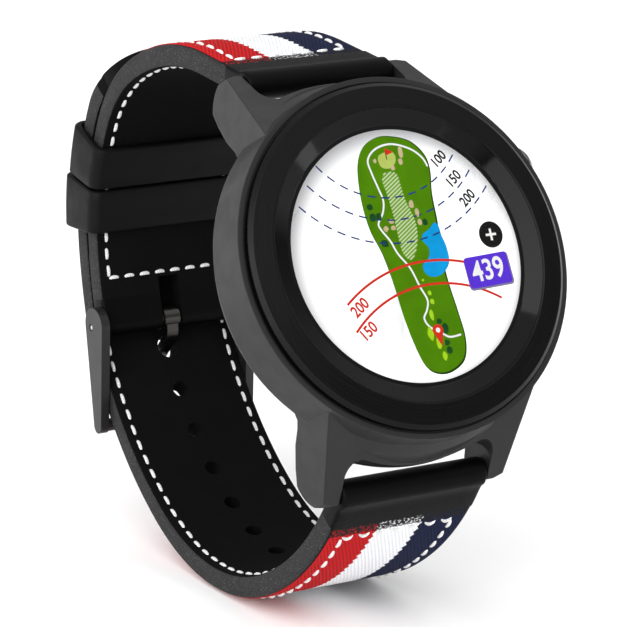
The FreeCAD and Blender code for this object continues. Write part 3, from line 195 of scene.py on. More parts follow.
# ---------------------------------------------------------------- shader graphs
class Graph:
    """A procedural material under construction."""

    def __init__(self, name, **sockets):
        self.material = bpy.data.materials.new(name)
        self.material.use_nodes = True
        self.tree = self.material.node_tree
        self.shader = self.tree.nodes["Principled BSDF"]
        for socket, value in sockets.items():
            self.shader.inputs[socket.replace("_", " ")].default_value = value

    def add(self, kind, inputs=(), **settings):
        """A node with its inputs filled by links or constants; returns its first output."""
        node = self.tree.nodes.new("ShaderNode" + kind)
        for key, value in settings.items():
            setattr(node, key, value)
        for index, value in dict(inputs).items():
            self.feed(node.inputs[index], value)
        return node.outputs[0]

    def feed(self, socket, value):
        if isinstance(value, bpy.types.NodeSocket):
            self.tree.links.new(value, socket)
        else:
            socket.default_value = value

    def set(self, socket, value):
        self.feed(self.shader.inputs[socket], value)

    def math(self, operation, first, second=0.0, third=0.0):
        return self.add("Math", {0: first, 1: second, 2: third}, operation=operation)

    def mix(self, factor, first, second):
        """Blends two colours."""
        node = self.tree.nodes.new("ShaderNodeMix")
        node.data_type = "RGBA"
        for index, value in ((0, factor), (6, first), (7, second)):
            self.feed(node.inputs[index], value)
        return node.outputs[2]

    def ramp(self, value, low, high, first=0.0, last=1.0):
        return self.add("MapRange", {0: value, 1: low, 2: high, 3: first, 4: last},
                        interpolation_type="SMOOTHSTEP")

    def wave(self, value, pitch):
        """A sine of the value that repeats at the pitch."""
        return self.math("SINE", self.math("MULTIPLY", value, 2 * math.pi / pitch))

    def from_middle(self, value):
        """How far the value is from the middle of its weave cell, from 0 to a half."""
        share = self.math("FRACT", self.math("DIVIDE", value, WEAVE_PITCH))
        return self.math("ABSOLUTE", self.math("SUBTRACT", share, 0.5))

    def distance(self, x, z, from_x=0.0, from_z=0.0):
        """Distance on the dial from a place, in millimetres."""
        dx, dz = self.math("SUBTRACT", x, from_x), self.math("SUBTRACT", z, from_z)
        squares = [self.math("MULTIPLY", side, side) for side in (dx, dz)]
        return self.math("SQRT", self.math("ADD", *squares))

    def place(self):
        """Object coordinates in millimetres."""
        coordinates = self.tree.nodes.new("ShaderNodeTexCoord").outputs["Object"]
        return self.add("VectorMath", {0: coordinates, 3: 1 / MM}, operation="SCALE")

    def noise(self, size, vector=None, detail=3.0, rough=0.55):
        """Noise whose blobs are about size millimetres across."""
        return self.add("TexNoise", {0: vector or self.place(), 2: 1 / size, 3: detail, 4: rough})

    def dial(self):
        """Sockets for x, height and depth of the watch, in millimetres from the bezel centre."""
        origin = row(0, 0, 0) / MM
        moved = self.add("VectorMath", {0: self.place(), 1: tuple(origin)}, operation="SUBTRACT")
        turned = self.add("VectorRotate", {0: moved, 3: LEAN}, rotation_type="X_AXIS")
        split = self.tree.nodes.new("ShaderNodeSeparateXYZ")
        self.tree.links.new(turned, split.inputs[0])
        return split.outputs[0], split.outputs[2], split.outputs[1]

    def across(self):
        """Sockets for the place across and along a strap, in millimetres."""
        split = self.tree.nodes.new("ShaderNodeSeparateXYZ")
        self.tree.links.new(self.tree.nodes.new("ShaderNodeUVMap").outputs[0], split.inputs[0])
        return split.outputs[0], split.outputs[1]

    def bump(self, height, distance, soft_edge=0.0):
        """Relief of a depth in millimetres, over edges rounded to a radius in millimetres."""
        node = self.add("Bump", {1: distance * MM}).node
        self.feed(node.inputs["Height"], height)
        if soft_edge:
            self.feed(node.inputs["Normal"], self.add("Bevel", {0: soft_edge * MM}, samples=6))
        self.set("Normal", node.outputs[0])


def shades(colour, *factors):
    """The colour at several brightnesses, as shader colours."""
    return [tuple(min(1.0, part * factor) for part in colour) + (1,) for factor in factors]


def moulded(name, colour, rough, grain=0.16, depth=0.012, spread=0.25, gloss=0.5, soft_edge=0.0):
    """Moulded or sprayed surface with fine grain and slight patches."""
    g = Graph(name, Specular_IOR_Level=gloss)
    g.set("Base Color", g.mix(g.noise(6.0), *shades(colour, 1 - spread, 1 + spread)))
    g.set("Roughness", g.ramp(g.noise(2.5), 0.3, 0.7, rough - 0.05, rough + 0.05))
    g.bump(g.noise(grain, detail=2.0), depth, soft_edge)
    return g


def leather(name, colour, rough, grain, depth, fleck=0.0, gloss=0.3):
    """Leather with cells, pores and, where fleck is set, pale dust in the grain."""
    g = Graph(name, Specular_IOR_Level=gloss)
    cells = g.add("TexVoronoi", {0: g.place(), 2: 1 / grain}, feature="F1")
    fine = g.noise(grain * 0.35, detail=4.0)
    tone = g.mix(g.noise(4.0), *shades(colour, 0.75, 1.3))
    if fleck:
        dust = g.ramp(g.noise(0.16, detail=1.0), 0.60, 0.72)
        tone = g.mix(dust, tone, (fleck, fleck, fleck, 1))
    g.set("Base Color", tone)
    g.set("Roughness", g.ramp(fine, 0.2, 0.8, rough - 0.07, rough + 0.07))
    g.bump(g.math("ADD", cells, fine), depth)
    return g


def brushed(name, colour, rough, metal):
    """Metal brushed in circles about the centre of the dial."""
    g = Graph(name, Metallic=metal, Specular_IOR_Level=0.2)
    x, z, _ = g.dial()
    outward = g.math("MULTIPLY", g.distance(x, z), 22.0)
    around = g.math("MULTIPLY", g.math("ARCTAN2", z, x), 1.6)
    streaks = g.noise(1.0, g.add("CombineXYZ", {0: outward, 1: around}), rough=0.6)
    g.set("Base Color", g.mix(streaks, *shades(colour, 0.7, 1.35)))
    g.set("Roughness", g.ramp(streaks, 0.3, 0.7, rough - 0.06, rough + 0.08))
    g.bump(streaks, 0.006, 0.12)
    return g


def polished(name, colour, rough, metal=0.0, depth=0.002, soft_edge=0.0, gloss=0.5):
    """Polished surface with faint smears."""
    g = Graph(name, Metallic=metal, Specular_IOR_Level=gloss)
    g.set("Base Color", g.mix(g.noise(3.0), *shades(colour, 0.85, 1.15)))
    g.set("Roughness", g.ramp(g.noise(1.8, detail=5.0), 0.35, 0.75, rough, rough + 0.06))
    g.bump(g.noise(0.9), depth, soft_edge)
    return g


def glass(name):
    """Clear cover glass with faint smudges."""
    g = Graph(name, IOR=1.13, Transmission_Weight=1.0)
    g.set("Roughness", g.ramp(g.noise(5.0, detail=6.0), 0.45, 0.8, 0.0, 0.04))
    g.set("Base Color", g.mix(g.noise(9.0), (0.97, 0.98, 0.99, 1), (1, 1, 1, 1)))
    return g


def lit(name, colour, spread=0.12, blob=1.2):
    """Part of the lit screen picture, with fine pixel rows and a mottled tone."""
    g = Graph(name, Roughness=0.6, Specular_IOR_Level=0.0, Emission_Strength=INK_GLOW)
    x, z, _ = g.dial()
    tone = g.mix(g.noise(blob, detail=4.0), *shades(colour, 1 - spread, 1 + spread))
    grid = g.math("MULTIPLY", g.wave(z, PIXEL_PITCH), g.wave(x, PIXEL_PITCH))
    g.set("Base Color", (0.0, 0.0, 0.0, 1))
    dim = g.ramp(grid, -1.0, 1.0, 0.97, 1.0)
    g.set("Emission Color", g.add("VectorMath", {0: tone, 3: dim}, operation="SCALE"))
    return g


def screen():
    """White screen, with a painted shadow that fades it to grey under its upper left edge and a darker rim
    towards its lower right edge.
    """
    g = Graph("screen_white", Roughness=0.6, Specular_IOR_Level=0.0, Emission_Strength=SCREEN_GLOW)
    x, z, _ = g.dial()
    # painted shadow of the rim: the white turns grey towards the upper left edge
    shade = g.ramp(g.distance(x, z, 0.80, -0.90), 13.2, 16.6)
    # darker rim towards the lower right edge
    edge = g.ramp(g.distance(x, z, -0.75, 0.90), 15.3, 16.6)
    tone = g.mix(g.math("MULTIPLY", shade, 0.75), (1, 1, 1, 1), (0.10, 0.10, 0.11, 1))
    tone = g.mix(g.math("MULTIPLY", edge, 0.5), tone, (0.3, 0.3, 0.32, 1))
    dim = g.ramp(g.wave(z, PIXEL_PITCH), -1.0, 1.0, 0.985, 1.0)
    g.set("Base Color", (0.02, 0.02, 0.02, 1))
    g.set("Emission Color", g.add("VectorMath", {0: tone, 3: dim}, operation="SCALE"))
    return g


# yarn colours of the three bands, and darker copies of them for the gaps between the yarns, painted shade
RED, WHITE, NAVY = (0.68, 0.008, 0.012, 1), (0.98, 0.99, 1.0, 1), (0.008, 0.014, 0.060, 1)
RED_GAP_SHADE, WHITE_GAP_SHADE, NAVY_GAP_SHADE = (0.16, 0.004, 0.005, 1), (0.66, 0.68, 0.72, 1), (0.001, 0.002, 0.008, 1)


def ribbon_weave(name, start):
    """Woven inlay: red, white and navy bands with toothed borders and a dark fused end; the gaps between the
    yarns are darkened with painted shade.
    """
    g = Graph(name, Roughness=0.9, Specular_IOR_Level=0.15)
    x, along = g.across()
    teeth = g.math("SUBTRACT", g.math("PINGPONG", along, TEETH_PITCH / 2), TEETH_PITCH / 4)
    wobble = g.math("SUBTRACT", g.noise(1.4, detail=2.0), 0.5)
    wander = g.math("ADD", g.math("MULTIPLY", teeth, 0.75), g.math("MULTIPLY", wobble, 0.25))
    shifted = g.math("ADD", x, wander)
    past_red = g.math("GREATER_THAN", shifted, -FABRIC_HALF / 3)
    past_white = g.math("GREATER_THAN", shifted, FABRIC_HALF / 3)
    yarn = g.mix(past_white, g.mix(past_red, RED, WHITE), NAVY)
    # darker copies of the yarn colours: painted shade for the gaps between the yarns
    gap = g.mix(past_white, g.mix(past_red, RED_GAP_SHADE, WHITE_GAP_SHADE), NAVY_GAP_SHADE)
    line = g.math("FLOOR", g.math("DIVIDE", along, WEAVE_PITCH))
    shift = g.math("MULTIPLY", g.math("MODULO", line, 2.0), WEAVE_PITCH / 2)
    column = g.math("ADD", g.math("ADD", x, shift), STRAP_HALF * 2)
    reach = g.math("ADD", *(g.math("POWER", g.math("MULTIPLY", g.from_middle(place), 2.0), 3.0)
                            for place in (column, along)))
    dome = g.ramp(reach, 0.15, 1.0, 1.0, 0.0)
    fibre = g.noise(0.11, detail=3.0)
    # each yarn keeps its own colour on the crown of its dome and fades to the painted shade colour towards
    # the gaps
    weave_with_painted_shade = g.mix(g.ramp(fibre, 0.35, 0.75, 0.0, 0.35), g.mix(dome, gap, yarn), gap)
    ragged = g.math("ADD", along, g.math("MULTIPLY", g.noise(0.45, detail=4.0), 1.1))
    fused = g.ramp(ragged, start + FUSED_BAND[0], start + FUSED_BAND[1], 1.0, 0.0)
    threads = g.ramp(g.noise(0.28, detail=2.0), 0.52, 0.60, 0.0, 0.55)
    burnt = g.mix(threads, (0.008, 0.008, 0.009, 1), yarn)
    g.set("Base Color", g.mix(fused, weave_with_painted_shade, burnt))
    g.bump(g.math("ADD", g.math("MULTIPLY", dome, 0.7), g.math("MULTIPLY", fibre, 0.3)), 0.14)
    return g


def thread(name):
    """Twisted white sewing thread, painted grey in the grooves of its twist as shade."""
    g = Graph(name, Roughness=0.8, Specular_IOR_Level=0.2)
    x, along = g.across()
    twist = g.math("SINE", g.math("ADD", g.math("MULTIPLY", along, 26.0), g.math("MULTIPLY", x, 9.0)))
    # grey in the grooves of the twist: painted shade on white thread
    g.set("Base Color", g.mix(g.ramp(twist, -1.0, 0.0), (0.62, 0.62, 0.62, 1), (0.95, 0.95, 0.94, 1)))
    g.bump(twist, 0.05)
    return g


def floor_material():
    """Plain white floor with a trace of unevenness."""
    g = Graph("floor_white", Roughness=0.75)
    g.set("Base Color", g.mix(g.noise(60.0), (0.93, 0.93, 0.93, 1), (0.96, 0.96, 0.96, 1)))
    return g


CASE = moulded("case_matte", (0.011, 0.011, 0.011), 0.42, 0.14, 0.005, gloss=0.24, soft_edge=0.22)
BEZEL = brushed("bezel_satin", (0.011, 0.011, 0.0115), 0.27, 0.9)
RING = polished("ring_gloss", (0.001, 0.001, 0.001), 0.05, gloss=0.16)
LEATHER = leather("strap_leather", (0.0015, 0.0015, 0.0015), 0.42, 0.45, 0.015, gloss=0.06)
LINING = leather("strap_lining", (0.0025, 0.0025, 0.0025), 0.85, 0.30, 0.03, gloss=0.06)
EDGE = leather("strap_edge", (0.015, 0.015, 0.016), 0.75, 0.22, 0.04, fleck=0.10, gloss=0.2)
RUBBER = moulded("keeper_rubber", (0.003, 0.003, 0.003), 0.50, 0.2, 0.01, gloss=0.10)
BUCKLE = polished("buckle_satin", (0.040, 0.040, 0.042), 0.38, metal=0.8, depth=0.003, soft_edge=0.15)
STEEL = polished("pin_steel", (0.62, 0.61, 0.59), 0.18, metal=1.0)
CHROME = polished("button_chrome", (0.20, 0.20, 0.215), 0.12, metal=1.0)
THREAD = thread("stitch_thread")

CAD_LOOKS = {
    "mid_case": CASE, "bezel_ring": BEZEL, "inner_ring": RING, "cover_lens": glass("cover_glass"),
    "display_panel": screen(), "case_back": moulded("back_matte", (0.022, 0.022, 0.024), 0.5),
    "display_holder": moulded("holder_grey", (0.06, 0.06, 0.065), 0.6),
    "main_board": moulded("board_green", (0.02, 0.10, 0.05), 0.45),
    "gps_antenna": moulded("ceramic", (0.55, 0.50, 0.42), 0.6),
    "battery": moulded("battery_foil", (0.22, 0.24, 0.28), 0.35),
    "charging_contacts": polished("contact_gold", (0.85, 0.60, 0.22), 0.2, metal=1.0),
    "button_cap": CHROME, "buckle_frame": BUCKLE,
    "buckle_tongue": polished("tongue_metal", (0.055, 0.053, 0.050), 0.22, metal=0.95),
}
for node in ("lens_gasket", "bezel_gasket", "back_gasket", "button_seal"):
    CAD_LOOKS[node] = RUBBER
METAL_NODES = ["board_screws", "case_back_screws", "vibration_motor", "buzzer_disc", "side_switch",
               "button_spring", "button_clip"]
METAL_NODES += [f"{bar}_{part}" for bar in ("upper_bar", "lower_bar", "buckle_bar")
                for part in ("tube", "tip_left", "tip_right", "spring_left", "spring_right")]
for node in METAL_NODES:
    CAD_LOOKS[node] = STEEL

for node, look in CAD_LOOKS.items():
    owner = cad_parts[node]
    owner.data.materials.clear()
    owner.data.materials.append(look.material)


# ---------------------------------------------------------------- mesh helpers
def mesh_object(name, verts, faces, looks, face_looks=None, uvs=None, smooth=True):
    """A mesh in row-frame metres, with one material index and uv list per face."""
    mesh = bpy.data.meshes.new(name)
    mesh.from_pydata([tuple(v) for v in verts], [], faces)
    for look in looks:
        mesh.materials.append(look.material)
    if face_looks:
        mesh.polygons.foreach_set("material_index", face_looks)
    if uvs:
        layer = mesh.uv_layers.new(name="place")
        for loop in mesh.loops:
            layer.data[loop.index].uv = uvs[loop.vertex_index]
    mesh.polygons.foreach_set("use_smooth", [smooth] * len(mesh.polygons))
    mesh.update()
    piece = bpy.data.objects.new(name, mesh)
    bpy.context.scene.collection.objects.link(piece)
    return piece


def sweep(name, route, stations, section, looks, pick=None, smooth=True):
    """Skins closed sections along a route; section(station) lists (x, offset) points."""
    rings = [section(station) for station in stations]
    count = len(rings[0])
    verts = [route.spot(x, s, o) for s, ring in zip(stations, rings) for x, o in ring]
    uvs = [(x, s) for s, ring in zip(stations, rings) for x, _ in ring]
    faces, marks = [], []
    for i in range(len(rings) - 1):
        for j in range(count):
            k = (j + 1) % count
            faces.append((i * count + j, i * count + k, (i + 1) * count + k, (i + 1) * count + j))
            marks.append(pick(stations[i], rings[i][j], rings[i][k]) if pick else 0)
    for i in (0, len(rings) - 1):
        cap = list(range(i * count, (i + 1) * count))
        faces.append(tuple(cap if i else reversed(cap)))
        marks.append(pick(stations[i], rings[i][0], rings[i][-1]) if pick else 0)
    piece = mesh_object(name, verts, faces, looks, marks, uvs, smooth)
    tidy_normals(piece)
    return piece


def tidy_normals(piece):
    """Turns all faces outward."""
    work = bmesh.new()
    work.from_mesh(piece.data)
    bmesh.ops.recalc_face_normals(work, faces=work.faces)
    work.to_mesh(piece.data)
    work.free()


def rounded_bar(half, low, high, radius, steps=4, flats=1):
    """Closed rounded rectangle from -half to half across and low to high in offset."""
    radius = min(radius, (high - low) / 2 - 1e-4, half - 1e-4)
    points = []
    corners = ((half - radius, high - radius, 0), (-half + radius, high - radius, 90),
               (-half + radius, low + radius, 180), (half - radius, low + radius, 270))
    for x, o, first in corners:
        for i in range(steps + 1):
            angle = math.radians(first + 90 * i / steps)
            points.append((x + radius * math.cos(angle), o + radius * math.sin(angle)))
        if first in (0, 180):
            level = points[-1][1]
            points += [(x - 2 * x * k / flats, level) for k in range(1, flats)]
    return points


def spread(low, high, step):
    """Even values from low to high, about a step apart."""
    count = max(1, round((high - low) / step))
    return [low + (high - low) * i / count for i in range(count + 1)]


def applied(piece):
    """Bakes the piece's modifiers into its mesh."""
    shaped = bpy.data.meshes.new_from_object(
        piece.evaluated_get(bpy.context.evaluated_depsgraph_get()), preserve_all_data_layers=True,
        depsgraph=bpy.context.evaluated_depsgraph_get())
    piece.modifiers.clear()
    piece.data = shaped
    return piece


def punch(piece, cutters):
    """Cuts the cutters out of the piece, then removes them."""
    for cutter in cutters:
        change = piece.modifiers.new("cut", "BOOLEAN")
        change.operation = "DIFFERENCE"
        change.solver = "EXACT"
        change.object = cutter
    applied(piece)
    piece.data.set_sharp_from_angle(angle=SHARP_FROM)
    for cutter in cutters:
        bpy.data.objects.remove(cutter)


def prism(first, last):
    """A cutter skinned between two outlines of equal length."""
    count = len(first)
    faces = [(i, (i + 1) % count, count + (i + 1) % count, count + i) for i in range(count)]
    faces += [tuple(reversed(range(count))), tuple(range(count, 2 * count))]
    cutter = mesh_object("cutter", first + last, faces, [LINING])
    tidy_normals(cutter)
    return cutter


def circle(radius, sides):
    """Points round a circle."""
    turns = [2 * math.pi * i / sides for i in range(sides)]
    return [(radius * math.cos(turn), radius * math.sin(turn)) for turn in turns]


def hole_cutter(route, station, radius, reach=4.0):
    """A round cutter at right angles to the strap."""
    ends = []
    for offset in (-reach, reach):
        (y, z), heading = route.at(station, offset)
        ends.append([row(x, y + slide * math.cos(heading), z + slide * math.sin(heading))
                     for x, slide in circle(radius, HOLE_SIDES)])
    return prism(*ends)


def bar_cutter(y, z, radius, half=12.0):
    """A round cutter along X."""
    return prism(*([row(x, y + dy, z + dz) for dy, dz in circle(radius, BAR_SIDES)]
                   for x in (-half, half)))


def slot_cutter(route, low, high, half, reach=4.0):
    """A box cutter along the end of a strap."""
    verts = [route.spot(x, s, o) for s in (low, high) for x, o in
             ((-half, -reach), (half, -reach), (half, reach), (-half, reach))]
    faces = [(0, 1, 2, 3), (4, 7, 6, 5), (0, 4, 5, 1), (1, 5, 6, 2), (2, 6, 7, 3), (3, 7, 4, 0)]
    cutter = mesh_object("cutter", verts, faces, [LINING])
    tidy_normals(cutter)
    return cutter


# ---------------------------------------------------------------- strap
def bulge(distance, radius):
    """Half thickness of the strap at a distance from the axis of its fold."""
    if distance < -radius:
        return 0.02
    round_part = math.sqrt(max(radius ** 2 - distance ** 2, 0.0004))
    return max(round_part, HALF_THICK) if distance > 0 else round_part


def tapered(near, tip, full):
    """Half width of the rounded tail, from its tip at 0 to its full width at 1."""
    return tip + (full - tip) * math.sqrt(max(0.0, 1 - (1 - near) ** 2))


def strap_section(route, outward, folds, tip_length, fabric):
    """Section function of a strap with folds at its bars, a shaped tip and a sunk inlay."""
    def section(station):
        half, thick = STRAP_HALF, HALF_THICK
        for centre, radius, way in folds:
            distance = (station - centre) * way
            if distance < FOLD_REACH:
                thick = bulge(distance, radius)
        if tip_length:
            near = (route.length - station) / tip_length
            if near < 1.0:
                half = tapered(near, TAIL_TIP_HALF, STRAP_HALF)
        sunk = FABRIC_SINK if fabric[0] < station < fabric[1] else 0.0
        low, high = sorted((outward * (thick - sunk), -outward * thick))
        return rounded_bar(half, low, high, min(EDGE_ROUNDING, thick * 0.9), flats=12)
    return section


def strap_looks(outward, folds):
    """Picks edge, lining or leather for a face from where it lies in the section."""
    def pick(station, first, second):
        if any((station - centre) * way < FOLD_LEATHER for centre, _, way in folds):
            return 0
        x = abs(first[0] + second[0]) / 2
        offset = (first[1] + second[1]) / 2 * outward
        if x > STRAP_HALF - EDGE_BAND and abs(offset) < HALF_THICK - FACE_BAND:
            return 2
        return 1 if offset < 0 else 0
    return pick


def join_blend(piece, route, flex):
    """Bakes a strap piece's transform into its mesh; the points either side of the flex are worked out but
    not used.
    """
    tuple(route.spot(0, flex - FLEX_HALF, 0))
    tuple(route.spot(0, flex + FLEX_HALF, 0))
    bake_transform(piece)


def strap_stations(low, high, marks):
    """Close stations along a strap, with extra ones at the marks."""
    found = set(round(s, 4) for s in spread(low, high, STATION_STEP))
    for mark in marks:
        found.update((round(mark - 0.02, 4), round(mark + 0.02, 4)))
    return sorted(s for s in found if low <= s <= high)


def fold_stations(centre, radius, way):
    """Stations round a fold, at even angles."""
    return [centre - way * radius * math.cos(math.radians(a)) for a in range(0, 91, 10)]


def build_short_strap():
    """The strap above the case, folded over a bar at each end; returns where its inlay ends."""
    fold_low, fold_high = (0.0, HEAD_RADIUS, 1), (SHORT.length, HALF_THICK, -1)
    weave_end = SHORT.length - WEAVE_END_SHORT
    stations = fold_stations(*fold_low) + fold_stations(*fold_high)
    stations += strap_stations(0.3, SHORT.length - 0.3, (FABRIC_START, weave_end))
    section = strap_section(SHORT, 1, (fold_low, fold_high), 0, (FABRIC_START, weave_end))
    body = sweep("short_strap", SHORT, sorted(set(round(s, 4) for s in stations)), section,
                 (LEATHER, LINING, EDGE), strap_looks(1, (fold_low, fold_high)))
    punch(body, [bar_cutter(BAR_DEPTH, BAR_HEIGHT, HEAD_BORE), bar_cutter(*BUCKLE_BAR, HEAD_BORE),
                 slot_cutter(SHORT, SHORT.length - SLOT_RUN, SHORT.length + 4, SLOT_HALF)])
    finish_strap(body, SHORT, SHORT_FLEX,
                 ("short_leather_front", "short_leather_back", "short_lining_front", "short_lining_back"))
    weave = inlay("short_weave", SHORT, 1, FABRIC_START, weave_end, ())
    finish_strap(weave, SHORT, SHORT_FLEX,
                 ("short_fabric_front", "short_fabric_back"))
    return weave_end


def build_long_strap():
    """The strap below the case with its seven holes; returns where its inlay ends."""
    fold = (0.0, HEAD_RADIUS, 1)
    weave_end = LONG.length - WEAVE_END_LONG
    stations = fold_stations(*fold) + strap_stations(0.3, LONG.length - TAIL_TAPER, (FABRIC_START,))
    stations += spread(LONG.length - TAIL_TAPER, LONG.length - 0.6, TAIL_STEP)[1:]
    stations += [LONG.length - d for d in (0.35, 0.18, 0.07, 0.0)]
    section = strap_section(LONG, -1, (fold,), TAIL_TAPER, (FABRIC_START, weave_end))
    body = sweep("long_strap", LONG, sorted(set(round(s, 4) for s in stations)), section,
                 (LEATHER, LINING, EDGE), strap_looks(-1, (fold,)))
    holes = [(station, HOLE_RADIUS) for station in HOLES] + [(TONGUE_HOLE_AT, TONGUE_HOLE)]
    cutters = [hole_cutter(LONG, *hole) for hole in holes]
    punch(body, [bar_cutter(BAR_DEPTH, -BAR_HEIGHT, HEAD_BORE), *cutters])
    finish_strap(body, LONG, LONG_FLEX,
                 ("long_leather_front", "long_lining_front", "tail_leather", "tail_lining"))
    weave = inlay("long_weave", LONG, -1, FABRIC_START, weave_end, holes)
    finish_strap(weave, LONG, LONG_FLEX,
                 ("long_fabric_front", "tail_fabric"))
    return weave_end


def finish_strap(piece, route, flex, nodes):
    """Bakes a finished piece's transform into its mesh and hides the solids that it stands for."""
    join_blend(piece, route, flex)
    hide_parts(*nodes)


def inlay(name, route, outward, low, high, holes):
    """The woven inlay: a thin crowned strip, whose cloth has a ragged dark fused band at its first end."""
    random.seed(7)
    ragged = {}

    def section(station):
        """Outline across the strip: two low corners and a flat top that wanders a little."""
        half = FABRIC_HALF
        near = (route.length - station) / TAIL_TAPER
        if near < 1.0 and route is LONG:
            half = tapered(near, TAIL_TIP_HALF, STRAP_HALF) - STRAP_HALF + FABRIC_HALF
        bottom, top = HALF_THICK - FABRIC_SINK - 0.12, HALF_THICK
        lift = ragged.setdefault(round(station, 3), random.uniform(-0.012, 0.012))
        points = [(half, bottom), (half, top - 0.10 + lift)]
        across = 24
        for i in range(across + 1):
            x = half - 0.08 - 2 * (half - 0.08) * i / across
            points.append((x, top - 0.02 + lift))
        points += [(-half, top - 0.10 + lift), (-half, bottom)]
        return [(x, o * outward) for x, o in points]

    stations = [low] + spread(low + 0.1, high - 0.1, WEAVE_STEP) + [high]
    piece = sweep(name, route, stations, section, (ribbon_weave(name + "_cloth", low),), smooth=True)
    if holes:
        punch(piece, [hole_cutter(route, *hole) for hole in holes])
    return piece


# ---------------------------------------------------------------- stitching
class Sewing:
    """Collects stitches on one route into one mesh."""

    def __init__(self, route):
        self.route = route
        self.verts, self.faces, self.uvs = [], [], []

    def stitch(self, start, end, offset, outward, bow=0.0):
        """One stitch between two (x, station) places, arched above the surface."""
        first = len(self.verts)
        length = math.hypot(end[0] - start[0], end[1] - start[1])
        side = ((end[1] - start[1]) / length, -(end[0] - start[0]) / length)
        for i in range(STITCH_STEPS + 1):
            t = i / STITCH_STEPS
            arch = math.sin(math.pi * t)
            x = start[0] + (end[0] - start[0]) * t + side[0] * bow * arch
            station = start[1] + (end[1] - start[1]) * t + side[1] * bow * arch
            height = offset + outward * (STITCH_RISE * arch ** 0.5 - STITCH_SINK)
            fat = STITCH_FAT * (0.45 + 0.55 * arch ** 0.4)
            for j in range(STITCH_SIDES):
                angle = 2 * math.pi * j / STITCH_SIDES
                wide = fat * math.cos(angle)
                self.verts.append(self.route.spot(x + side[0] * wide, station + side[1] * wide,
                                                  height + fat * 0.8 * math.sin(angle)))
                self.uvs.append((wide, station + x))
        for i in range(STITCH_STEPS):
            for j in range(STITCH_SIDES):
                k = (j + 1) % STITCH_SIDES
                a, b = first + i * STITCH_SIDES, first + (i + 1) * STITCH_SIDES
                self.faces.append((a + j, a + k, b + k, b + j))
        self.faces.append(tuple(first + j for j in reversed(range(STITCH_SIDES))))
        self.faces.append(tuple(first + STITCH_STEPS * STITCH_SIDES + j for j in range(STITCH_SIDES)))

    def run(self, start, end, offset, outward, bow=0.0):
        """A row of stitches from one place to another."""
        total = math.hypot(end[0] - start[0], end[1] - start[1])
        count = max(1, round((total + STITCH_GAP) / (STITCH_LENGTH + STITCH_GAP)))
        pitch = (total + STITCH_GAP) / count
        for i in range(count):
            a, b = i * pitch / total, (i * pitch + pitch - STITCH_GAP) / total
            wander = random.uniform(-STITCH_WANDER, STITCH_WANDER)
            ends = [(start[0] + (end[0] - start[0]) * t + (wander if start[0] == end[0] else 0),
                     start[1] + (end[1] - start[1]) * t) for t in (a, b)]
            self.stitch(*ends, offset, outward, bow)

    def piece(self, name):
        made = mesh_object(name, self.verts, self.faces, (THREAD,), None, self.uvs)
        tidy_normals(made)
        return made


def sew(name, route, flex, rows):
    """Sews rows of (start, end, offset, outward, bow) as one piece and bakes its transform."""
    random.seed(11)
    sewing = Sewing(route)
    for start, end, offset, outward, bow in rows:
        sewing.run(start, end, offset, outward, bow=bow)
    join_blend(sewing.piece(name), route, flex)


def build_stitching(short_end, long_end):
    """Seams round the inlays and along the linings."""
    side, inner_side = FABRIC_HALF - SEAM_INSET, STRAP_HALF - 1.35
    top, low = HALF_THICK, FABRIC_START + 1.75
    rows = []
    for x in (-side, side):
        rows.append(((x, low + 0.4), (x, short_end - 1.5), top, 1, 0.0))
    rows.append(((-side, low), (side, low), top, 1, 0.35))
    for x in (-inner_side, inner_side):
        rows.append(((x, 5.5), (x, SHORT.length - 6.4), -top, -1, 0.0))
    rows.append(((-inner_side, SHORT.length - 6.2), (inner_side, SHORT.length - 6.2), -top, -1, 0.12))
    sew("short_stitching", SHORT, SHORT_FLEX, rows)
    rows = []
    for x in (-side, side):
        rows.append(((x, low + 0.4), (x, long_end - 4.5), -top, -1, 0.0))
    rows.append(((-side, low), (side, low), -top, -1, -0.35))
    for x in (-inner_side, inner_side):
        rows.append(((x, 5.5), (x, LONG.length - 9.0), top, 1, 0.0))
    sew("long_stitching", LONG, LONG_FLEX, rows)


# ---------------------------------------------------------------- keepers
def keeper_rings():
    """Angle from the keeper's middle and how far the section is drawn in, from edge to edge."""
    half = math.radians(KEEPER_ANGLE) / 2
    edge = [(math.radians(turn) * 1.6, draw) for turn, draw in KEEPER_EDGE]
    rings = [(turn - half, draw) for turn, draw in edge]
    rings += [(half * 0.8 * share, 0.0) for share in (-0.6, -0.2, 0.2, 0.6)]
    return rings + [(half - turn, draw) for turn, draw in reversed(edge)]


def keeper(name, heading, swell, body, node):
    """A soft-edged loop of one moulded section, on the bend's own centre."""
    centre, bend = SHORT.centre_at(SHORT.station_at(heading))
    inner = bend - HALF_THICK - KEEPER_PLAY
    outer = bend + HALF_THICK * 3 + LAYER_GAP + KEEPER_PLAY + swell
    middle = math.radians(heading + 90.0)
    rings, verts, faces = keeper_rings(), [], []
    for angle, draw in rings:
        low, high = inner - KEEPER_WALL + draw, outer + KEEPER_WALL - draw
        outside = rounded_bar(KEEPER_HALF - draw, low, high, KEEPER_CORNERS[0], 6)
        half = KEEPER_HALF - KEEPER_WALL + draw * 0.3
        inside = rounded_bar(half, inner - draw * 0.1, outer + draw * 0.3, KEEPER_CORNERS[1], 6)
        turn = middle + angle
        verts += [row(x, centre[0] + radius * math.cos(turn), centre[1] + radius * math.sin(turn))
                  for x, radius in outside + inside]
    count = len(verts) // len(rings) // 2
    last = (len(rings) - 1) * 2 * count
    pairs = [(j, (j + 1) % count) for j in range(count)]
    for a in range(0, last, count):
        b = a + 2 * count
        faces += [(a + j, a + k, b + k, b + j) for j, k in pairs]
    for base in (0, last):
        faces += [(base + j, base + k, base + count + k, base + count + j) for j, k in pairs]
    piece = mesh_object(name, verts, faces, (RUBBER,))
    tidy_normals(piece)
    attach(piece, body)
    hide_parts(node)


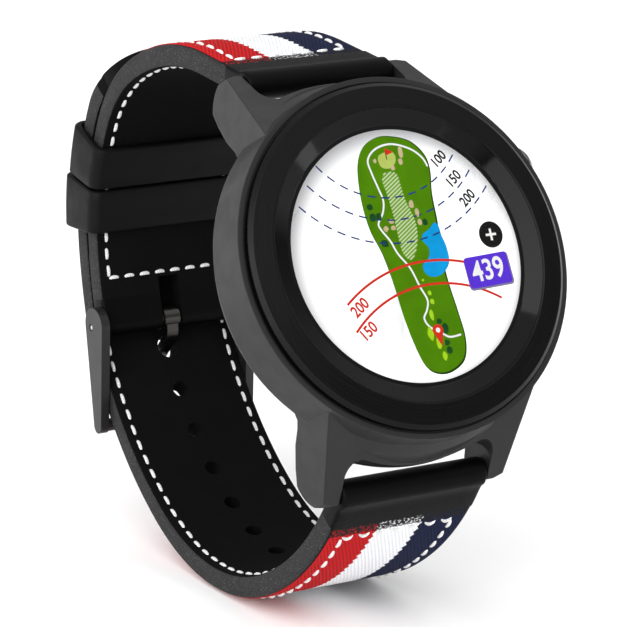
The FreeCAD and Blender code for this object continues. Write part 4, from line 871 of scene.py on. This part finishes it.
# ---------------------------------------------------------------- screen picture
SCREEN_TOP = DISPLAY_DEPTH - 0.02
LAYER_STEP = 0.012
FIGURE_WIDTH = 0.86


def screen_point(x, z, layer):
    """A place on one of the thin layers over the screen."""
    return row(x, SCREEN_TOP - layer * LAYER_STEP, z)


def picture(name, outline, look, layer):
    """A flat shape of the screen picture from its outline."""
    verts = [screen_point(x, z, layer) for x, z in outline]
    piece = mesh_object(name, verts, [tuple(range(len(verts)))], (look,), smooth=False)
    return on_screen(piece)


def on_screen(piece):
    """Fixes a part of the picture to the case."""
    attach(piece, "case")
    return piece


def smooth_loop(points, closed=True, steps=6):
    """A Catmull-Rom curve through the points."""
    count = len(points)
    found = []
    for i in range(count if closed else count - 1):
        near = range(i - 1, i + 3)
        p = [points[k % count] if closed else points[min(max(k, 0), count - 1)] for k in near]
        for step in range(steps):
            t = step / steps
            found.append(tuple(
                0.5 * (2 * p[1][a] + (p[2][a] - p[0][a]) * t
                       + (2 * p[0][a] - 5 * p[1][a] + 4 * p[2][a] - p[3][a]) * t ** 2
                       + (3 * p[1][a] - p[0][a] - 3 * p[2][a] + p[3][a]) * t ** 3) for a in (0, 1)))
    if not closed:
        found.append(points[-1])
    return found


def ribbon(points, width):
    """Outline quads of a line of a given width, as (verts, faces)."""
    sides = []
    for i, point in enumerate(points):
        before, after = points[max(i - 1, 0)], points[min(i + 1, len(points) - 1)]
        run = math.hypot(after[0] - before[0], after[1] - before[1])
        nx, nz = -(after[1] - before[1]) / run * width / 2, (after[0] - before[0]) / run * width / 2
        sides.append(((point[0] + nx, point[1] + nz), (point[0] - nx, point[1] - nz)))
    verts = [p for pair in sides for p in pair]
    faces = [(2 * i, 2 * i + 1, 2 * i + 3, 2 * i + 2) for i in range(len(points) - 1)]
    return verts, faces


def lines(name, paths, width, look, layer):
    """Several lines of one width as one piece."""
    verts, faces = [], []
    for path in paths:
        found, quads = ribbon(path, width)
        faces += [tuple(i + len(verts) for i in quad) for quad in quads]
        verts += [screen_point(x, z, layer) for x, z in found]
    return on_screen(mesh_object(name, verts, faces, (look,), smooth=False))


def blobs(name, places, look, layer, seed=3):
    """Uneven round spots, each given as (x, z, radius across, radius along)."""
    random.seed(seed)
    verts, faces = [], []
    for x, z, wide, tall in places:
        ring = smooth_loop([(x + wide * random.uniform(0.82, 1.15) * math.cos(math.radians(a)),
                             z + tall * random.uniform(0.82, 1.15) * math.sin(math.radians(a)))
                            for a in range(0, 360, 45)], steps=4)
        faces.append(tuple(range(len(verts), len(verts) + len(ring))))
        verts += [screen_point(*p, layer) for p in ring]
    return on_screen(mesh_object(name, verts, faces, (look,), smooth=False))


def arc(centre, radius, low, high, step=2.0):
    """Points along a circle between two angles in degrees."""
    return [(centre[0] + radius * math.cos(math.radians(a)), centre[1] + radius * math.sin(math.radians(a)))
            for a in spread(low, high, step)]


def dashes(centre, radius, low, high, dash=1.1, gap=0.75):
    """Short arcs along a circle, between two angles in degrees."""
    found = []
    angle = low
    while angle < high:
        stop = min(angle + math.degrees(dash / radius), high)
        found.append(arc(centre, radius, angle, stop, 1.0))
        angle = stop + math.degrees(gap / radius)
    return found


def figures(name, text, place, height, turn, look, layer, bold=0.026):
    """Generic figures on the screen, as a flat mesh."""
    curve = bpy.data.curves.new(name, "FONT")
    curve.body = text
    curve.align_x, curve.align_y = "CENTER", "CENTER"
    curve.size = height
    curve.offset = height * bold
    source = bpy.data.objects.new(name + "_source", curve)
    bpy.context.scene.collection.objects.link(source)
    flat = bpy.data.meshes.new_from_object(source.evaluated_get(bpy.context.evaluated_depsgraph_get()))
    bpy.data.objects.remove(source)
    cos, sin = math.cos(math.radians(turn)), math.sin(math.radians(turn))
    corners = [(v.co.x * FIGURE_WIDTH, v.co.y) for v in flat.vertices]
    turned = [(place[0] + x * cos - z * sin, place[1] + x * sin + z * cos) for x, z in corners]
    verts = [screen_point(x, z, layer) for x, z in turned]
    faces = [tuple(p.vertices) for p in flat.polygons]
    return on_screen(mesh_object(name, verts, faces, (look,), smooth=False))


GREEN_OUTLINE = [(1.4, 14.4), (3.9, 13.6), (5.5, 11.8), (5.8, 9.8), (5.3, 7.0), (5.1, 3.5), (4.7, 0.0),
                 (4.7, -3.3), (5.1, -7.0), (5.3, -10.4), (4.5, -12.9), (2.4, -14.1), (0.4, -14.0),
                 (-0.9, -12.8), (-1.7, -10.0), (-2.2, -6.5), (-2.5, -2.7), (-3.0, 0.7), (-3.9, 3.5),
                 (-4.2, 6.6), (-4.0, 9.7), (-3.4, 12.0), (-2.2, 13.6), (-0.4, 14.4)]
CART_PATH = [(5.7, 10.3), (5.2, 11.5), (3.8, 12.7), (1.4, 13.5), (-0.8, 13.1), (-2.1, 11.9), (-2.0, 10.3),
             (-1.6, 8.5), (-1.3, 6.9), (-1.7, 5.5), (-2.6, 4.3), (-2.5, 3.5), (-1.6, 2.0), (-1.0, 0.4),
             (0.2, -1.5), (0.9, -3.8), (1.5, -5.5), (1.1, -6.7), (0.5, -7.6), (1.0, -8.7), (2.5, -9.7),
             (3.4, -10.2), (4.9, -10.1)]
FAIRWAY = [(0.0, 10.2), (1.3, 9.9), (1.5, 8.3), (1.7, 6.5), (2.3, 4.2), (2.2, 2.2), (1.3, 0.1), (0.4, -0.5),
           (-0.3, 0.5), (-0.4, 2.2), (-0.4, 4.8), (-0.6, 7.6), (-0.8, 9.4)]
LAKE = [(4.8, 3.5), (5.3, 3.0), (5.4, 1.9), (5.7, 0.6), (5.7, -1.0), (5.2, -2.0), (4.0, -2.8), (2.7, -2.8),
        (2.0, -2.2), (2.0, -1.3), (3.0, -0.5), (3.3, 0.6), (2.7, 1.5), (2.9, 2.3), (3.9, 2.8)]
PUTTING_GREEN = [(-0.7, 11.4), (-0.4, 10.8), (0.5, 10.6), (1.4, 11.1), (1.7, 12.0), (1.2, 12.7), (0.3, 12.6),
                 (-0.6, 12.2)]


def grown(outline, margin):
    """The outline pushed outward from its middle."""
    cx = sum(x for x, _ in outline) / len(outline)
    cz = sum(z for _, z in outline) / len(outline)
    return [(x + margin * (x - cx) / math.hypot(x - cx, z - cz),
             z + margin * (z - cz) / math.hypot(x - cx, z - cz)) for x, z in outline]


def hatching(outline, turn, pitch):
    """Slanted strokes clipped to an outline."""
    slope = (math.cos(math.radians(turn)), math.sin(math.radians(turn)))
    across = (-slope[1], slope[0])
    strokes = []
    shift = -14.0
    while shift < 14.0:
        hits = []
        for i, a in enumerate(outline):
            b = outline[(i + 1) % len(outline)]
            da = a[0] * across[0] + a[1] * across[1] - shift
            db = b[0] * across[0] + b[1] * across[1] - shift
            if da * db < 0:
                t = da / (da - db)
                hits.append((a[0] + (b[0] - a[0]) * t, a[1] + (b[1] - a[1]) * t))
        if len(hits) == 2:
            strokes.append(sorted(hits))
        shift += pitch
    return strokes


def rounded_badge(centre, half_wide, half_tall, radius, turn):
    """Outline of a turned rounded rectangle."""
    cos, sin = math.cos(math.radians(turn)), math.sin(math.radians(turn))
    ring = rounded_bar(half_wide, -half_tall, half_tall, radius, 5)
    return [(centre[0] + x * cos - z * sin, centre[1] + x * sin + z * cos) for x, z in ring]


INKS = {name: lit("ink_" + name, *settings) for name, settings in {
    "turf": ((0.082, 0.25, 0.002), 0.32, 2.6), "outline": ((0.010, 0.045, 0.004),),
    "white": ((0.98, 0.98, 0.95), 0.03), "hatch": ((0.62, 0.72, 0.42), 0.1),
    "fairway": ((0.17, 0.38, 0.035), 0.15), "putting_green": ((0.52, 0.62, 0.14), 0.2),
    "sand": ((0.62, 0.49, 0.28), 0.25, 0.5), "tree": ((0.012, 0.075, 0.016), 0.5, 0.4),
    "lime": ((0.42, 0.72, 0.02), 0.2), "water": ((0.006, 0.36, 0.80), 0.22, 0.9),
    "navy": ((0.020, 0.045, 0.20),), "red": ((0.72, 0.035, 0.018),), "black": ((0.012, 0.012, 0.012),),
    "violet": ((0.115, 0.040, 0.72), 0.06), "grey": ((0.24, 0.22, 0.34),)}.items()}

# place and radii across and along of the small spots on the map
BUNKERS = [(2.5, 12.4, 0.33, 0.75), (2.2, 11.3, 0.3, 0.4), (-1.2, 11.7, 0.22, 0.3), (1.0, 10.6, 0.27, 0.3),
           (2.3, 6.0, 0.35, 0.5), (2.8, 5.0, 0.28, 0.55), (2.9, 3.8, 0.28, 0.4), (-1.8, 3.5, 0.35, 0.35),
           (-0.9, 4.3, 0.33, 0.33), (-0.8, 3.5, 0.35, 0.3)]
TREES = [(-3.3, 6.3, 0.42, 0.4), (-3.2, 5.0, 0.5, 0.5), (-2.4, 5.1, 0.4, 0.45), (-2.4, 1.8, 0.5, 0.5),
         (3.6, 3.7, 0.4, 0.4), (2.4, -8.2, 0.35, 0.35), (3.0, -9.1, 0.5, 0.6), (2.8, -10.8, 0.35, 0.4),
         (2.9, -11.7, 0.4, 0.5)]
SHRUBS = [(1.5, -3.1, 0.16, 0.16), (2.0, -4.7, 0.26, 0.32), (2.1, -5.8, 0.28, 0.34), (1.6, -7.3, 0.3, 0.65),
          (0.9, -9.5, 0.4, 0.8), (1.7, -10.8, 0.35, 0.75), (2.1, -12.3, 0.33, 0.55)]


def build_map():
    """The hole: turf, fairway, path, water, sand and trees."""
    turf = smooth_loop(GREEN_OUTLINE)
    fairway = smooth_loop(FAIRWAY, steps=4)
    picture("map_shadow", [(x + 0.10, z - 0.08) for x, z in grown(turf, 0.16)], INKS["outline"], 0)
    picture("map_turf", turf, INKS["turf"], 1)
    picture("map_fairway", fairway, INKS["fairway"], 2)
    lines("map_hatching", hatching(fairway, 32.0, 0.36), 0.17, INKS["hatch"], 3)
    lines("map_path", [smooth_loop(CART_PATH, closed=False)], 0.24, INKS["white"], 4)
    picture("map_lake", smooth_loop(LAKE), INKS["water"], 4)
    picture("map_putting_green", smooth_loop(PUTTING_GREEN), INKS["putting_green"], 2)
    blobs("map_bunkers", BUNKERS, INKS["sand"], 5)
    blobs("map_trees", TREES, INKS["tree"], 5, seed=9)
    blobs("map_lime", SHRUBS, INKS["lime"], 5, seed=5)
    lines("map_flag_pole", [[(0.45, 11.7), (0.45, 12.7)]], 0.12, INKS["outline"], 5)
    picture("map_flag", [(0.45, 13.1), (1.5, 12.5), (0.45, 12.2)], INKS["red"], 6)


def build_ranges():
    """Distance arcs to the green and from the tee, with their figures."""
    rings = [dash for radius, low, high in ((11.8, 216, 322), (14.5, 219, 321), (17.3, 221.5, 319.5))
             for dash in dashes((0.4, 18.9), radius, low, high)]
    lines("range_marks", rings, 0.19, INKS["navy"], 5)
    for radius, low, high in ((19.2, 55.0, 127.0), (16.4, 56.0, 133.0)):
        lines(f"drive_arc_{round(radius)}", [arc((2.4, -20.1), radius, low, high)], 0.30, INKS["red"], 5)
    for text, x, z in (("100", 7.4, 11.0), ("150", 8.8, 8.4), ("200", 10.1, 5.9)):
        figures("range_" + text, text, (x, z), 1.75, 36.0, INKS["black"], 5)
    for text, x, z in (("200", -7.6, -5.3), ("150", -7.2, -8.2)):
        figures("drive_" + text, text, (x, z), 1.95, 33.0, INKS["red"], 5)


def build_marks():
    """The distance badge, the zoom button and the place marker, a drop with a white dot."""
    badge, zoom, arm, pin = (10.6, -3.0), (12.1, 1.2), 0.72, (1.95, -9.2)
    shadow = (badge[0] + 0.06, badge[1] - 0.12)
    picture("badge_shadow", rounded_badge(shadow, 3.12, 2.02, 0.5, 2.0), INKS["grey"], 5)
    picture("badge", rounded_badge(badge, 3.0, 1.9, 0.45, 2.0), INKS["violet"], 6)
    figures("badge_figures", "439", badge, 3.5, 4.5, INKS["white"], 7, bold=0.018)
    picture("zoom_disc", arc(zoom, 1.62, 0, 350, 10.0), INKS["black"], 6)
    cross = [[(zoom[0] - dx, zoom[1] - dz), (zoom[0] + dx, zoom[1] + dz)]
             for dx, dz in ((arm, 0.0), (0.0, arm))]
    lines("zoom_cross", cross, 0.3, INKS["white"], 7)
    picture("pin", arc(pin, 0.72, -35, 215, 8.0) + [(pin[0] + 0.1, pin[1] - 2.0)], INKS["red"], 6)
    picture("pin_dot", arc(pin, 0.3, 0, 345, 15.0), INKS["white"], 7)


# ---------------------------------------------------------------- stage
def build_floor():
    """The plain floor, level with the lowest stitches under the strap."""
    corners = [(x * FLOOR_HALF, y * FLOOR_HALF, FLOOR_BELOW * MM)
               for x, y in ((-1, -1), (1, -1), (1, 1), (-1, 1))]
    floor = mesh_object("floor", corners, [(0, 1, 2, 3)], (floor_material(),), smooth=False)


def build_sky():
    """A white sky that is bright overhead and in a thin band at the horizon."""
    world = bpy.data.worlds.new("studio")
    bpy.context.scene.world = world
    world.use_nodes = True
    nodes, links = world.node_tree.nodes, world.node_tree.links
    background = nodes["Background"]
    background.inputs["Color"].default_value = (1.0, 1.0, 1.0, 1)
    direction = nodes.new("ShaderNodeSeparateXYZ")
    links.new(nodes.new("ShaderNodeTexCoord").outputs["Generated"], direction.inputs[0])
    brighter = nodes.new("ShaderNodeMath")
    brighter.operation = "MAXIMUM"
    for index, span in enumerate((SKY_HEIGHTS + SKY_LIGHT, HORIZON_HEIGHTS + HORIZON_LIGHT)):
        change = nodes.new("ShaderNodeMapRange")
        change.interpolation_type = "SMOOTHSTEP" if span[:2] == SKY_HEIGHTS else "LINEAR"
        links.new(direction.outputs["Z"], change.inputs["Value"])
        for socket, value in zip(change.inputs[1:5], span):
            socket.default_value = value
        links.new(change.outputs[0], brighter.inputs[index])
    links.new(brighter.outputs[0], background.inputs["Strength"])


def build_lamps():
    """A wide sun and the softboxes."""
    sun = bpy.data.lights.new("overhead", "SUN")
    sun.energy, sun.angle = SUN_LIGHT, SUN_WIDTH
    aim(sun, SUN_FROM, Vector((0, 0, 0)))
    middle = centre_of("mid_case")
    for name, place, size, glow in SOFTBOXES:
        lamp = bpy.data.lights.new(name, "AREA")
        lamp.shape = "RECTANGLE"
        lamp.size, lamp.size_y = size
        lamp.energy = glow * math.pi * size[0] * size[1]
        aim(lamp, middle + Vector(place), middle)


def aim(lamp, place, target):
    """Puts a light at a place, pointing at the target."""
    holder = bpy.data.objects.new(lamp.name, lamp)
    bpy.context.scene.collection.objects.link(holder)
    holder.location = place
    holder.rotation_euler = (target - place).to_track_quat("-Z", "Y").to_euler()


def build_camera():
    """Long lens from the left and above, level across."""
    camera = bpy.data.cameras.new("camera")
    camera.lens, camera.sensor_width = LENS, SENSOR
    camera.clip_start, camera.clip_end = 0.01, 100.0
    holder = bpy.data.objects.new("camera", camera)
    bpy.context.scene.collection.objects.link(holder)
    forward = CAMERA_FORWARD.normalized()
    up = CAMERA_RIGHT.cross(forward).normalized()
    right = forward.cross(up)
    turn = Matrix((right, up, -forward)).transposed()
    holder.matrix_world = Matrix.Translation(row(0, 1.4, 0) + CAMERA_OFFSET) @ turn.to_4x4()
    bpy.context.scene.camera = holder


short_end = build_short_strap()
long_end = build_long_strap()
build_stitching(short_end, long_end)
keeper("free_keeper_loop", FREE_KEEPER_AT, 0.0, "keeper", "free_keeper")
keeper("fixed_keeper_loop", FIXED_KEEPER_AT, KEEPER_SWELL, "band_back", "fixed_keeper")
build_map()
build_ranges()
build_marks()
build_floor()
build_sky()
build_lamps()
build_camera()
bpy.context.scene.view_settings.view_transform = "Standard"
